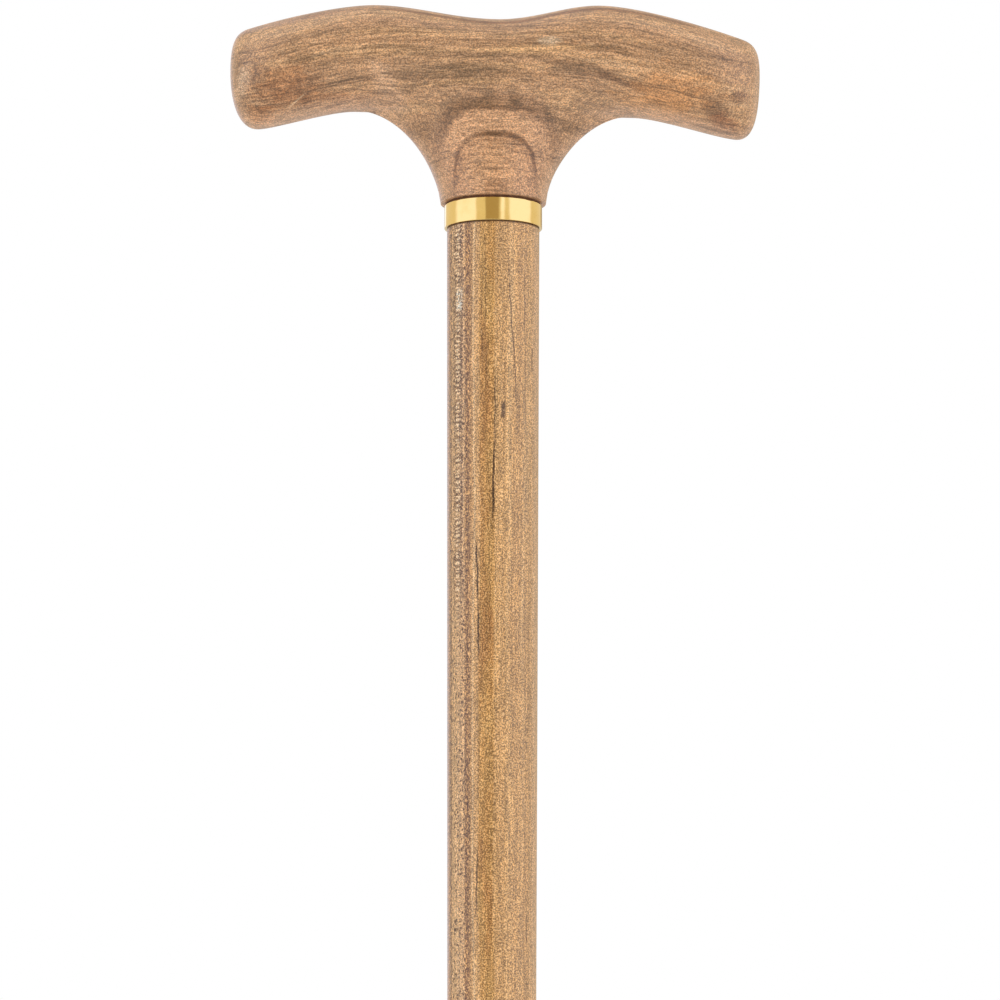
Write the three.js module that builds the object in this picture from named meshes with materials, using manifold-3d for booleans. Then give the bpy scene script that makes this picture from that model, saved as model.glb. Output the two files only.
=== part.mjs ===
// Flask cane: a T-handled walking stick whose handle unscrews to give a hidden glass vial and a drinking cup.
// Millimetres, +Z up. Heights are first measured from the seat, the plane where the handle meets the collar.
// At the end the whole cane is lowered so that its origin is the palm point on top of the handle.

import * as THREE from 'three';
import { mergeVertices } from 'three/addons/utils/BufferGeometryUtils.js';
import Module from 'manifold-3d';

const wasm = await Module();
wasm.setup();

// Overall
const standingHeight = 914;
const roundSides = 32;
const smallSides = 24;

// Clearances
const glueGap = 0.05;
const seatGap = 0.05;
const restGap = 0.1;
const threadClearance = 0.15;
const springClearance = 0.4;

// Handle outline, seen from the front and measured from the underside of its neck. It is shaped by hand,
// so its crests and toes differ a little from side to side and the grip leans down to the right.
const gripLength = 128.2;
const saddleHeight = 45.3;
const leftCrestOffset = 28.8;
const leftCrestHeight = 48.2;
const rightCrestOffset = 25.3;
const rightCrestHeight = 49.3;
const shoulderOffset = 59.8;
const shoulderHeight = 41.8;
const shoulderSlope = 0.31;
const noseHeight = 32.4;
const leftToeOffset = 57.3;
const rightToeOffset = 59;
const toeHeight = 17.4;
const archOffset = 33.8;
const archHeight = 22.4;
const neckDiameter = 25.4;
const neckFlare = 0.083;
const gripLean = 1.2;
const leanPivot = 15;
const leanBlend = 12;

// How full each curve of that outline is at its two ends, as shares of its chord
const fullness = {
  saddle: [0.37, 0.33],
  arm: [0.24, 0.36],
  shoulder: [0.34, 0.57],
  toe: [0.53, 0.27],
  underside: [0.14, 0.255],
  flare: [0.37, 0.3],
};

// Handle depth, seen from above
const gripDepth = 27;
const gripEndDepth = 24.4;
const neckWaist = 0.6;
const waistHeight = 12;
const sectionPower = 2.1;
const endRounding = 17;
const endPower = 2.3;
const neckBlend = 9;
const roundPower = 0.5;
const flarePower = 1.1;

// Handle facets
const neckColumns = 22;
const armColumns = 16;
const endColumns = 7;
const lowerSteps = 7;
const upperSteps = 9;
const flankShare = 0.25;
const armCrowding = 1.25;
const endColumnShare = 0.7;

// Brass insert, its screw and its pad
const spigotDiameter = 15.6;
const spigotLength = 11;
const spigotChamfer = 0.6;
const reliefDepth = 0.5;
const reliefHeight = 1.3;
const flangeDiameter = 20.8;
const flangeThickness = 2;
const shankDiameter = 13;
const shankLength = 18;
const barbCount = 3;
const barbDepth = 0.5;
const screwDiameter = 4;
const screwHeadDiameter = 7.6;
const screwHeadHeight = 2.2;
const screwLength = 34;
const screwPoint = 5;
const screwSlotWidth = 1;
const screwSlotDepth = 1;
const screwClearance = 0.2;
const padDiameter = 11;
const padThickness = 2.8;
const padProud = 0.9;

// Seal washer between handle and collar
const washerThickness = 0.5;
const washerInset = 0.5;
const washerClearance = 0.3;

// Collar and thread socket
const collarDiameter = 23.6;
const collarHeight = 5.6;
const collarEdge = 0.2;
const tenonDiameter = 21.2;
const socketDepth = 14;
const socketWall = 1.05;
const socketChamfer = 0.4;
const socketGroove = 0.3;
const socketGrooveHeight = 5;

// Shaft
const shaftTopDiameter = 22.3;
const shaftTipDiameter = 17;
const shaftTipChamfer = 0.6;
const spliceLength = 20;
const boreFloorGap = 0.3;

// Vial, rings, cap and cup
const vialDiameter = 13;
const vialWall = 0.9;
const vialBodyLength = 192;
const vialShoulderRound = 1;
const vialNeckLength = 18;
const vialNeckDiameter = 9;
const vialNeckBore = 7.2;
const vialLip = 0.3;
const vialLipHeight = 2;
const ringDiameter = 0.8;
const ringInset = 18;
const ringClearance = 0.15;
const capReach = 9;
const capWall = 0.5;
const capTop = 0.6;
const capRound = 0.5;
const capClearance = 0.1;
const sealThickness = 1.6;
const cupHeight = 28;
const cupWall = 0.6;
const cupFloor = 0.8;
const cupRound = 1;
const cupInset = 0.1;

// Liner, follower, spring and plug
const linerWall = 0.5;
const followerClearance = 0.2;
const followerWall = 0.5;
const followerFloor = 0.8;
const followerHeight = 6.5;
const followerBossHeight = 2;
const cushionThickness = 2;
const springLength = 24.5;
const springWire = 0.8;
const springDiameter = 12.4;
const springTurns = 9;
const springSteps = 10;
const plugThickness = 5;
const plugBossHeight = 3;

// Rubber tip
const tipHeight = 38;
const tipBaseDiameter = 29;
const tipBaseHeight = 3.5;
const tipSleeveDiameter = 24;
const tipSleeveStart = 12;
const tipLipDiameter = 25.2;
const tipLipHeight = 4;
const tipFloor = 9;
const tipGrooveDepth = 1.2;
const tipGrooveWidth = 1.8;
const tipGrooveCount = 2;
const tipWasherThickness = 1.2;
const tipWasherInset = 0.2;

// Levels along the axis, from the seat at zero
const neckBase = washerThickness + 2 * seatGap;
const palmLevel = neckBase + saddleHeight;
const floorLevel = palmLevel - standingHeight;
const spigotEnd = neckBase - spigotLength;
const padBottom = spigotEnd - padProud;
const padTop = padBottom + padThickness;
const cupTop = padBottom - restGap;
const cupRim = cupTop - cupHeight;
const vialShoulder = cupRim - restGap;
const vialTop = vialShoulder + vialNeckLength;
const vialBottom = vialShoulder - vialBodyLength;
const sealBottom = vialTop + restGap;
const sealTop = sealBottom + sealThickness;
const capCeiling = sealTop + glueGap;
const cushionTop = vialBottom - restGap;
const cushionBottom = cushionTop - cushionThickness;
const followerInside = cushionBottom - glueGap;
const followerBottom = followerInside - followerFloor;
const springTop = followerBottom - seatGap;
const springBottom = springTop - springLength;
const plugTop = springBottom - seatGap;
const plugBottom = plugTop - plugThickness;
const linerTop = -socketDepth - seatGap;
const spliceTop = plugBottom - boreFloorGap;
const spliceShoulder = spliceTop - spliceLength;
const shoulderLevel = -collarHeight - seatGap;
const tipSocketFloor = floorLevel + tipFloor;
const tipWasherBottom = tipSocketFloor + seatGap;
const tipWasherTop = tipWasherBottom + tipWasherThickness;
const shaftEnd = tipWasherTop + seatGap;

// Radii that follow from the mating pieces
const gripHalf = gripLength / 2;
const neckRadius = neckDiameter / 2;
const spigotRadius = spigotDiameter / 2;
const flangeRadius = flangeDiameter / 2;
const shankRadius = shankDiameter / 2;
const padRadius = padDiameter / 2;
const screwRadius = screwDiameter / 2;
const screwHeadRadius = screwHeadDiameter / 2;
const screwHole = screwRadius + screwClearance;
const socketBore = spigotRadius + threadClearance;
const socketRadius = socketBore + socketWall;
const collarRadius = collarDiameter / 2;
const tenonRadius = tenonDiameter / 2;
const vialRadius = vialDiameter / 2;
const vialNeckRadius = vialNeckDiameter / 2;
const neckBore = vialNeckBore / 2;
const capInside = vialNeckRadius + vialLip + capClearance;
const ringOuter = vialRadius + glueGap + ringDiameter;
const linerBore = ringOuter + ringClearance;
const linerRadius = linerBore + linerWall;
const shaftBore = linerRadius + glueGap;
const followerRadius = linerBore - followerClearance;
const plugRadius = linerBore - glueGap;
const springRadius = springDiameter / 2;
const springInner = springRadius - springWire / 2;
const cupRadius = vialRadius - cupInset;
const cupInside = cupRadius - cupWall;

function shaftRadiusAt(z) {
  const along = (shoulderLevel - z) / (shoulderLevel - shaftEnd);
  return THREE.MathUtils.lerp(shaftTopDiameter, shaftTipDiameter, along) / 2;
}

// A solid of revolution about Z from [radius, height] points that run anticlockwise
function revolve(profile, sides = roundSides) {
  const points = profile.map(([radius, height]) => new THREE.Vector2(radius, height));
  return new THREE.LatheGeometry(points, sides).rotateX(Math.PI / 2);
}

// Points of a circular arc in the radius and height plane, angles in degrees
function arc(radius, height, size, from, to, steps) {
  const points = [];
  for (let i = 0; i <= steps; i += 1) {
    const angle = THREE.MathUtils.degToRad(THREE.MathUtils.lerp(from, to, i / steps));
    points.push([radius + size * Math.cos(angle), height + size * Math.sin(angle)]);
  }
  return points;
}

// A washer or tube with square edges
function tube(inner, outer, bottom, top, sides = roundSides) {
  return revolve([[inner, bottom], [outer, bottom], [outer, top], [inner, top], [inner, bottom]], sides);
}

function toManifold(geometry) {
  const bare = geometry.clone();
  bare.deleteAttribute('normal');
  bare.deleteAttribute('uv');
  const merged = mergeVertices(bare, 1e-4);
  const vertProperties = new Float32Array(merged.attributes.position.array);
  const corners = merged.index.array;
  const triVerts = [];
  for (let i = 0; i < corners.length; i += 3) {
    const [a, b, c] = [corners[i], corners[i + 1], corners[i + 2]];
    if (a !== b && b !== c && c !== a) {
      triVerts.push(a, b, c);
    }
  }
  const mesh = new wasm.Mesh({ numProp: 3, vertProperties, triVerts: new Uint32Array(triVerts) });
  return new wasm.Manifold(mesh);
}

function toGeometry(manifold) {
  const mesh = manifold.getMesh();
  const geometry = new THREE.BufferGeometry();
  geometry.setAttribute('position', new THREE.BufferAttribute(new Float32Array(mesh.vertProperties), 3));
  geometry.setIndex(new THREE.BufferAttribute(new Uint32Array(mesh.triVerts), 1));
  return geometry;
}

function cut(geometry, ...tools) {
  let body = toManifold(geometry);
  for (const tool of tools) {
    body = body.subtract(toManifold(tool));
  }
  return toGeometry(body);
}

// A cubic curve between two points. Each end leaves along its own direction, for a share of the chord.
function bend(from, fromDirection, to, toDirection, [lead, trail]) {
  const chord = from.distanceTo(to);
  const first = fromDirection.clone().normalize().multiplyScalar(chord * lead).add(from);
  const second = toDirection.clone().normalize().multiplyScalar(-chord * trail).add(to);
  return new THREE.CubicBezierCurve(from, first, second, to);
}

// One half of the handle's outline as six curves, from the saddle round the end to the neck
function gripCurves(crestOffset, crestHeight, toeOffset) {
  const point = (x, z) => new THREE.Vector2(x, z);
  const saddle = point(0, saddleHeight);
  const crest = point(crestOffset, crestHeight);
  const shoulder = point(shoulderOffset, shoulderHeight);
  const nose = point(gripHalf, noseHeight);
  const toe = point(toeOffset, toeHeight);
  const arch = point(archOffset, archHeight);
  const neck = point(neckRadius, 0);
  const outward = point(1, 0);
  const inward = point(-1, 0);
  const down = point(0, -1);
  const fall = point(1, -shoulderSlope);
  const intoNeck = point(-neckFlare, -1);
  return {
    top: [
      bend(saddle, outward, crest, outward, fullness.saddle),
      bend(crest, outward, shoulder, fall, fullness.arm),
      bend(shoulder, fall, nose, down, fullness.shoulder),
    ],
    bottom: [
      bend(nose, down, toe, inward, fullness.toe),
      bend(toe, inward, arch, inward, fullness.underside),
      bend(arch, inward, neck, intoNeck, fullness.flare),
    ],
  };
}

// Straight-line lookup in a list of Vector2 whose key grows
function lookUp(points, key, value, at) {
  const above = points.findIndex((point) => point[key] >= at);
  if (above <= 0) {
    return points[above === 0 ? 0 : points.length - 1][value];
  }
  const [low, high] = [points[above - 1], points[above]];
  const share = (at - low[key]) / (high[key] - low[key]);
  return THREE.MathUtils.lerp(low[value], high[value], share);
}

function smoothMax(a, b, blend) {
  const overlap = Math.max(blend - Math.abs(a - b), 0) / blend;
  return Math.max(a, b) + (overlap * overlap * blend) / 4;
}

// Half depth of the handle at a place in its outline: the beam's rounded section blended with the neck,
// whose front draws in to a slight waist and then swells into the beam. The neck is round at the collar
// and thins out at its sides where it spreads under the arms.
function makeHalfDepth(topAt, flareAt) {
  const beamDepthAt = (x) => {
    const middle = THREE.MathUtils.lerp(gripDepth, gripEndDepth, (x / gripHalf) ** 2) / 2;
    const past = Math.max(x - (gripHalf - endRounding), 0) / endRounding;
    return middle * (1 - Math.min(past, 1) ** endPower) ** (1 / endPower);
  };
  const swellTop = (archHeight + saddleHeight) / 2;
  const neckDepthAt = (z) => {
    const waist = neckRadius - neckWaist;
    const drawnIn = THREE.MathUtils.lerp(neckRadius, waist, THREE.MathUtils.smoothstep(z, 0, waistHeight));
    const swell = THREE.MathUtils.smoothstep(z, waistHeight, swellTop);
    return drawnIn + (gripDepth / 2 - waist) * swell;
  };
  return (x, z, underside) => {
    const top = topAt(x);
    const centre = (top + underside) / 2;
    const half = Math.max((top - underside) / 2, 1e-6);
    const off = Math.min(Math.abs(z - centre) / half, 1);
    const beam = beamDepthAt(x) * (1 - off ** sectionPower) ** (1 / sectionPower);
    if (z >= swellTop) {
      return beam;
    }
    const reach = flareAt(Math.min(z, archHeight));
    const spread = THREE.MathUtils.smoothstep(reach, neckRadius, archOffset);
    const power = THREE.MathUtils.lerp(roundPower, flarePower, spread);
    const neck = neckDepthAt(z) * Math.max(1 - (x / reach) ** 2, 0) ** power;
    // The blend dies away towards the swell's top, and where the neck or the beam ends
    const width = neckBlend * (1 - THREE.MathUtils.smoothstep(z, archHeight, swellTop));
    return smoothMax(beam, neck, Math.max(Math.min(width, beam, neck), 1e-6));
  };
}

// Places of the sections along the right half of the handle
function columnPlaces() {
  const places = [];
  for (let i = 0; i <= neckColumns / 2; i += 1) {
    places.push(neckRadius * Math.sin((Math.PI * i) / neckColumns));
  }
  const endStart = gripHalf - endRounding * endColumnShare;
  for (let i = 1; i <= armColumns; i += 1) {
    places.push(THREE.MathUtils.lerp(neckRadius, endStart, (i / armColumns) ** armCrowding));
  }
  for (let i = 1; i <= endColumns; i += 1) {
    places.push(THREE.MathUtils.lerp(endStart, gripHalf, Math.sin((Math.PI * i) / (2 * endColumns))));
  }
  return places;
}

// Sections of one half of the handle: a function from a distance out along the grip to a list of
// [half depth, height] pairs that run up one side at even steps
function makeSections(crestOffset, crestHeight, toeOffset) {
  const { top, bottom } = gripCurves(crestOffset, crestHeight, toeOffset);
  const fine = 60;
  const topPoints = top.flatMap((curve) => curve.getPoints(fine));
  const bottomPoints = bottom.flatMap((curve) => curve.getPoints(fine)).reverse();
  const flarePoints = bottom[2].getPoints(fine).reverse();
  const topAt = (x) => lookUp(topPoints, 'x', 'y', x);
  const bottomAt = (x) => (x <= neckRadius ? 0 : lookUp(bottomPoints, 'x', 'y', x));
  const flareAt = (z) => lookUp(flarePoints, 'y', 'x', z);
  const halfDepth = makeHalfDepth(topAt, flareAt);

  // Even steps along the side of a section between two heights, as [half depth, height] pairs
  const climb = (x, from, to, underside, count) => {
    const trace = [];
    let length = 0;
    for (let i = 0; i <= fine; i += 1) {
      const z = THREE.MathUtils.lerp(from, to, (1 - Math.cos((Math.PI * i) / fine)) / 2);
      const depth = halfDepth(x, z, underside);
      length += i > 0 ? Math.hypot(depth - trace[i - 1].depth, z - trace[i - 1].z) : 0;
      trace.push({ at: length, depth, z });
    }
    const steps = [];
    for (let i = 0; i <= count; i += 1) {
      const at = (length * i) / count;
      steps.push([lookUp(trace, 'at', 'depth', at), lookUp(trace, 'at', 'z', at)]);
    }
    return steps;
  };

  return (x) => {
    const low = bottomAt(x);
    const high = topAt(x);
    const underside = x < archOffset ? archHeight : low;
    const flank = THREE.MathUtils.lerp(underside, high, flankShare);
    const lowerSide = climb(x, low, flank, underside, lowerSteps);
    const upperSide = climb(x, flank, high, underside, upperSteps);
    const side = [...lowerSide, ...upperSide.slice(1)];
    side[side.length - 1][0] = 0;
    if (x >= neckRadius) {
      side[0][0] = 0;
    }
    return side;
  };
}

// The handle's outside, lofted through upright sections that run from end to end
function gripLoft() {
  const leftSection = makeSections(leftCrestOffset, leftCrestHeight, leftToeOffset);
  const rightSection = makeSections(rightCrestOffset, rightCrestHeight, rightToeOffset);
  const right = columnPlaces();
  const places = [...right.slice(1).reverse().map((x) => -x), ...right];
  // The lean turns about a point in the neck and fades out below it, so that the neck meets the seat squarely
  const lean = (x, z) => {
    const angle = THREE.MathUtils.degToRad(gripLean) * THREE.MathUtils.smoothstep(z, 0, leanBlend);
    const above = z - leanPivot;
    return [
      x * Math.cos(angle) + above * Math.sin(angle),
      leanPivot + above * Math.cos(angle) - x * Math.sin(angle),
    ];
  };
  const positions = [];
  const loopSize = 2 * (lowerSteps + upperSteps + 1);
  for (const place of places) {
    const steps = place < 0 ? leftSection(-place) : rightSection(place);
    const front = steps.map(([depth, z]) => [-depth, z]);
    const loop = [...front, ...steps.reverse()];
    for (const [y, z] of loop) {
      const [x, height] = lean(place, z);
      positions.push(x, y, height + neckBase);
    }
  }
  const indices = [];
  for (let column = 0; column < places.length - 1; column += 1) {
    for (let step = 0; step < loopSize; step += 1) {
      const next = (step + 1) % loopSize;
      const here = column * loopSize;
      const there = here + loopSize;
      indices.push(here + step, there + step, there + next, here + step, there + next, here + next);
    }
  }
  const geometry = new THREE.BufferGeometry();
  geometry.setAttribute('position', new THREE.Float32BufferAttribute(positions, 3));
  geometry.setIndex(indices);
  return geometry;
}

// Handle: the loft, bored from below for the insert and its screw
function handleGeometry() {
  const socketTop = neckBase + flangeThickness + shankLength + restGap;
  const pilotTop = screwTip() + restGap;
  const bore = revolve([
    [0, neckBase - 1],
    [flangeRadius + glueGap, neckBase - 1],
    [flangeRadius + glueGap, neckBase + flangeThickness + glueGap],
    [shankRadius + glueGap, neckBase + flangeThickness + glueGap],
    [shankRadius + glueGap, socketTop],
    [screwRadius + glueGap, socketTop],
    [screwRadius + glueGap, pilotTop],
    [0, pilotTop],
  ]);
  return cut(gripLoft(), bore);
}

function screwHeadLevel() {
  return padTop + restGap;
}

function screwTip() {
  return screwHeadLevel() + screwLength;
}

// Insert: a brass plug with a barbed shank above its flange and the screw-in spigot below
function insertGeometry() {
  const flangeTop = neckBase + flangeThickness;
  const shankTop = flangeTop + shankLength;
  const barbPitch = shankLength / barbCount;
  const barbs = [];
  for (let i = 0; i < barbCount; i += 1) {
    const low = flangeTop + barbPitch * i;
    barbs.push([shankRadius, low], [shankRadius - barbDepth, low + barbPitch]);
  }
  const recess = padRadius + glueGap;
  const countersink = screwHeadRadius - screwRadius;
  return revolve([
    [recess, spigotEnd],
    [spigotRadius - spigotChamfer, spigotEnd],
    [spigotRadius, spigotEnd + spigotChamfer],
    [spigotRadius, neckBase - reliefHeight],
    [spigotRadius - reliefDepth, neckBase - reliefHeight],
    [spigotRadius - reliefDepth, neckBase],
    [flangeRadius, neckBase],
    [flangeRadius, flangeTop],
    ...barbs,
    [screwHole, shankTop],
    [screwHole, screwHeadLevel() + countersink + screwClearance],
    [screwHeadRadius + screwClearance, screwHeadLevel()],
    [recess, screwHeadLevel()],
    [recess, spigotEnd],
  ]);
}

// Wood screw up through the insert into the handle, with a slot in its countersunk head
function screwGeometry() {
  const head = screwHeadLevel();
  const body = revolve([
    [0, head],
    [screwHeadRadius, head],
    [screwRadius, head + screwHeadHeight],
    [screwRadius, screwTip() - screwPoint],
    [0, screwTip()],
  ], smallSides);
  const slot = new THREE.BoxGeometry(2 * screwHeadDiameter, screwSlotWidth, 2 * screwSlotDepth);
  slot.translate(0, 0, head);
  return cut(body, slot);
}

// Collar: a plain band with its edges just broken
function collarGeometry() {
  const inner = tenonRadius + glueGap;
  return revolve([
    [inner, -collarHeight],
    [collarRadius - collarEdge, -collarHeight],
    [collarRadius, -collarHeight + collarEdge],
    [collarRadius, -collarEdge],
    [collarRadius - collarEdge, 0],
    [inner, 0],
    [inner, -collarHeight],
  ]);
}

// Thread socket: a bush glued in the top of the shaft, with a glue groove round its middle
function socketGeometry() {
  const grooveLow = -(socketDepth + socketGrooveHeight) / 2;
  const grooveHigh = grooveLow + socketGrooveHeight;
  return revolve([
    [socketBore, -socketDepth],
    [socketRadius, -socketDepth],
    [socketRadius, grooveLow],
    [socketRadius - socketGroove, grooveLow],
    [socketRadius - socketGroove, grooveHigh],
    [socketRadius, grooveHigh],
    [socketRadius, 0],
    [socketBore + socketChamfer, 0],
    [socketBore, -socketChamfer],
    [socketBore, -socketDepth],
  ]);
}

// Upper shaft: the tapered tube that holds the liner, with a tenon for the collar at its top
function shaftGeometry() {
  const counterbore = socketRadius + glueGap;
  const counterboreFloor = -socketDepth - glueGap;
  return revolve([
    [shaftBore, spliceShoulder],
    [shaftRadiusAt(spliceShoulder), spliceShoulder],
    [shaftRadiusAt(shoulderLevel), shoulderLevel],
    [tenonRadius, shoulderLevel],
    [tenonRadius, 0],
    [counterbore, 0],
    [counterbore, counterboreFloor],
    [shaftBore, counterboreFloor],
    [shaftBore, spliceShoulder],
  ]);
}

// Lower shaft: solid, glued into the end of the upper one by a tenon that closes its bore
function lowerShaftGeometry() {
  const tipRadius = shaftRadiusAt(shaftEnd);
  const splice = shaftBore - glueGap;
  const shoulder = spliceShoulder - seatGap;
  return revolve([
    [0, shaftEnd],
    [tipRadius - shaftTipChamfer, shaftEnd],
    [shaftRadiusAt(shaftEnd + shaftTipChamfer), shaftEnd + shaftTipChamfer],
    [shaftRadiusAt(shoulder), shoulder],
    [splice, shoulder],
    [splice, spliceTop],
    [0, spliceTop],
  ]);
}

// Vial: a glass tube with a round bottom, a square shoulder, a neck and a lip
function vialGeometry() {
  const inner = vialRadius - vialWall;
  const round = vialShoulderRound;
  const neck = vialNeckRadius;
  const lip = neck + vialLip;
  return revolve([
    ...arc(0, vialBottom + vialRadius, vialRadius, -90, 0, 5),
    ...arc(vialRadius - round, vialShoulder - round, round, 0, 90, 3),
    [neck, vialShoulder],
    [neck, vialTop - vialLipHeight],
    [lip, vialTop - vialLipHeight * 0.7],
    [lip, vialTop - vialLipHeight * 0.2],
    [neck, vialTop],
    [neckBore, vialTop],
    [neckBore, vialShoulder - vialWall],
    [inner - round, vialShoulder - round - vialWall],
    [inner, vialShoulder - 2 * round - vialWall],
    ...arc(0, vialBottom + vialRadius, inner, 0, -90, 4),
  ]);
}

// A rubber ring round the vial
function ringGeometry(level) {
  const middle = vialRadius + glueGap + ringDiameter / 2;
  return revolve(arc(middle, level, ringDiameter / 2, -90, 270, 6));
}

// Cap: pushed over the neck of the vial, with a cork disc inside that seals on the rim
function capGeometry() {
  const outside = capInside + capWall;
  const top = capCeiling + capTop;
  return revolve([
    [capInside, vialTop - capReach],
    [outside, vialTop - capReach],
    ...arc(outside - capRound, top - capRound, capRound, 0, 90, 3),
    [0, top],
    [0, capCeiling],
    [capInside, capCeiling],
    [capInside, vialTop - capReach],
  ]);
}

// Drinking cup: stands upside down over the neck of the vial
function cupGeometry() {
  const ceiling = cupTop - cupFloor;
  return revolve([
    [cupInside, cupRim],
    [cupRadius, cupRim],
    ...arc(cupRadius - cupRound, cupTop - cupRound, cupRound, 0, 90, 3),
    [0, cupTop],
    [0, ceiling],
    [cupInside, ceiling],
    [cupInside, cupRim],
  ]);
}

// Follower: a brass cup that carries the vial on the spring
function followerGeometry() {
  const inside = followerRadius - followerWall;
  const boss = springInner - springClearance;
  return revolve([
    [0, followerBottom - followerBossHeight],
    [boss, followerBottom - followerBossHeight],
    [boss, followerBottom],
    [followerRadius, followerBottom],
    [followerRadius, followerBottom + followerHeight],
    [inside, followerBottom + followerHeight],
    [inside, followerInside],
    [0, followerInside],
  ]);
}

// Spring: a round wire wound as an open helix
class Helix extends THREE.Curve {
  getPoint(t, target = new THREE.Vector3()) {
    const angle = 2 * Math.PI * springTurns * t;
    const low = springBottom + springWire / 2;
    const high = springTop - springWire / 2;
    return target.set(
      springRadius * Math.cos(angle),
      springRadius * Math.sin(angle),
      THREE.MathUtils.lerp(low, high, t),
    );
  }
}

function springGeometry() {
  const wire = new THREE.Shape();
  const wireSides = 6;
  for (let i = 0; i < wireSides; i += 1) {
    const angle = (2 * Math.PI * i) / wireSides;
    const place = [Math.cos(angle) * springWire * 0.48, Math.sin(angle) * springWire * 0.48];
    if (i === 0) {
      wire.moveTo(...place);
    } else {
      wire.lineTo(...place);
    }
  }
  return new THREE.ExtrudeGeometry(wire, { steps: springTurns * springSteps, extrudePath: new Helix() });
}

// Plug: closes the liner and keeps the spring central
function plugGeometry() {
  const boss = springInner - springClearance;
  return revolve([
    [0, plugBottom],
    [plugRadius, plugBottom],
    [plugRadius, plugTop],
    [boss, plugTop],
    [boss, plugTop + plugBossHeight],
    [0, plugTop + plugBossHeight],
  ]);
}

// Rubber tip: a flared foot with ring grooves underneath and a tapered socket for the shaft
function tipGeometry() {
  const base = tipBaseDiameter / 2;
  const sleeve = tipSleeveDiameter / 2;
  const lip = tipLipDiameter / 2;
  const top = floorLevel + tipHeight;
  const grooves = [];
  const groovePitch = base / (tipGrooveCount + 1);
  for (let i = 1; i <= tipGrooveCount; i += 1) {
    const middle = groovePitch * i;
    const inner = middle - tipGrooveWidth / 2;
    const outer = middle + tipGrooveWidth / 2;
    grooves.push([inner, floorLevel], [inner, floorLevel + tipGrooveDepth]);
    grooves.push([outer, floorLevel + tipGrooveDepth], [outer, floorLevel]);
  }
  const flare = new THREE.CubicBezierCurve(
    new THREE.Vector2(base, floorLevel + tipBaseHeight),
    new THREE.Vector2(base - 1, floorLevel + THREE.MathUtils.lerp(tipBaseHeight, tipSleeveStart, 0.6)),
    new THREE.Vector2(sleeve, floorLevel + THREE.MathUtils.lerp(tipBaseHeight, tipSleeveStart, 0.4)),
    new THREE.Vector2(sleeve, floorLevel + tipSleeveStart),
  );
  return revolve([
    [0, floorLevel],
    ...grooves,
    [base - 0.8, floorLevel],
    [base, floorLevel + 0.8],
    ...flare.getPoints(3).map((point) => [point.x, point.y]),
    [sleeve, top - tipLipHeight],
    [lip, top - tipLipHeight * 0.8],
    [lip, top - tipLipHeight * 0.2],
    [lip - 0.8, top],
    [shaftRadiusAt(top) + glueGap, top],
    [shaftRadiusAt(shaftEnd) + glueGap, shaftEnd],
    [shaftRadiusAt(shaftEnd) + glueGap, tipSocketFloor],
    [0, tipSocketFloor],
  ]);
}

// Materials
const brass = { color: 0xd8b25c, roughness: 0.22, metalness: 1 };
const walnut = { color: 0xb08a6c, roughness: 0.42, metalness: 0 };
const maple = { color: 0xc49c70, roughness: 0.4, metalness: 0 };
const glass = { color: 0xdfeeea, roughness: 0.05, metalness: 0 };
const steel = { color: 0xb8bcc0, roughness: 0.3, metalness: 1 };
const rubber = { color: 0x1c1c1e, roughness: 0.8, metalness: 0 };
const cork = { color: 0xb98a58, roughness: 0.9, metalness: 0 };
const fibre = { color: 0x2e2018, roughness: 0.85, metalness: 0 };
const felt = { color: 0x5a1f22, roughness: 0.95, metalness: 0 };

const group = new THREE.Group();

function add(name, geometry, finish) {
  const mesh = new THREE.Mesh(geometry, new THREE.MeshStandardMaterial(finish));
  mesh.name = name;
  group.add(mesh);
}

// Shaft and what stays in it
add('shaft', shaftGeometry(), maple);
add('shaft_lower', lowerShaftGeometry(), maple);
add('collar', collarGeometry(), brass);
add('thread_socket', socketGeometry(), brass);
add('bore_liner', tube(linerBore, linerRadius, plugBottom, linerTop), brass);
add('liner_plug', plugGeometry(), brass);
add('lift_spring', springGeometry(), steel);
add('rubber_tip', tipGeometry(), rubber);
add('tip_washer', revolve([
  [0, tipWasherBottom],
  [shaftRadiusAt(shaftEnd) - tipWasherInset, tipWasherBottom],
  [shaftRadiusAt(shaftEnd) - tipWasherInset, tipWasherTop],
  [0, tipWasherTop],
], smallSides), steel);

// Follower
add('follower_cup', followerGeometry(), brass);
add('follower_pad', revolve([
  [0, cushionBottom],
  [followerRadius - followerWall - glueGap, cushionBottom],
  [followerRadius - followerWall - glueGap, cushionTop],
  [0, cushionTop],
]), felt);

// Vial
add('vial', vialGeometry(), glass);
add('vial_ring_upper', ringGeometry(vialShoulder - ringInset), rubber);
add('vial_ring_lower', ringGeometry(vialBottom + vialRadius + ringInset), rubber);

// Cap and its seal
add('vial_cap', capGeometry(), brass);
add('cap_seal', revolve([
  [0, sealBottom],
  [capInside - glueGap, sealBottom],
  [capInside - glueGap, sealTop],
  [0, sealTop],
], smallSides), cork);

// Cup
add('drinking_cup', cupGeometry(), steel);

// Handle and what is fixed in it
add('seal_washer', tube(spigotRadius + washerClearance, collarRadius - washerInset, seatGap,
  seatGap + washerThickness), fibre);
add('handle', handleGeometry(), walnut);
add('handle_insert', insertGeometry(), brass);
add('insert_screw', screwGeometry(), steel);
add('spigot_pad', revolve([
  [0, padBottom],
  [padRadius, padBottom],
  [padRadius, padTop],
  [0, padTop],
]), rubber);

for (const mesh of group.children) {
  mesh.position.z = -palmLevel;
}

export default group;
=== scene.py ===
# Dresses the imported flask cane: walnut handle, brass collar, maple shaft and the flask hidden inside.
# Profiles are millimetres, as (radius, height), with heights measured from the seat, the top of the collar.

import math

import bpy
import bmesh
import numpy as np
from mathutils import Matrix, Vector


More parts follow.
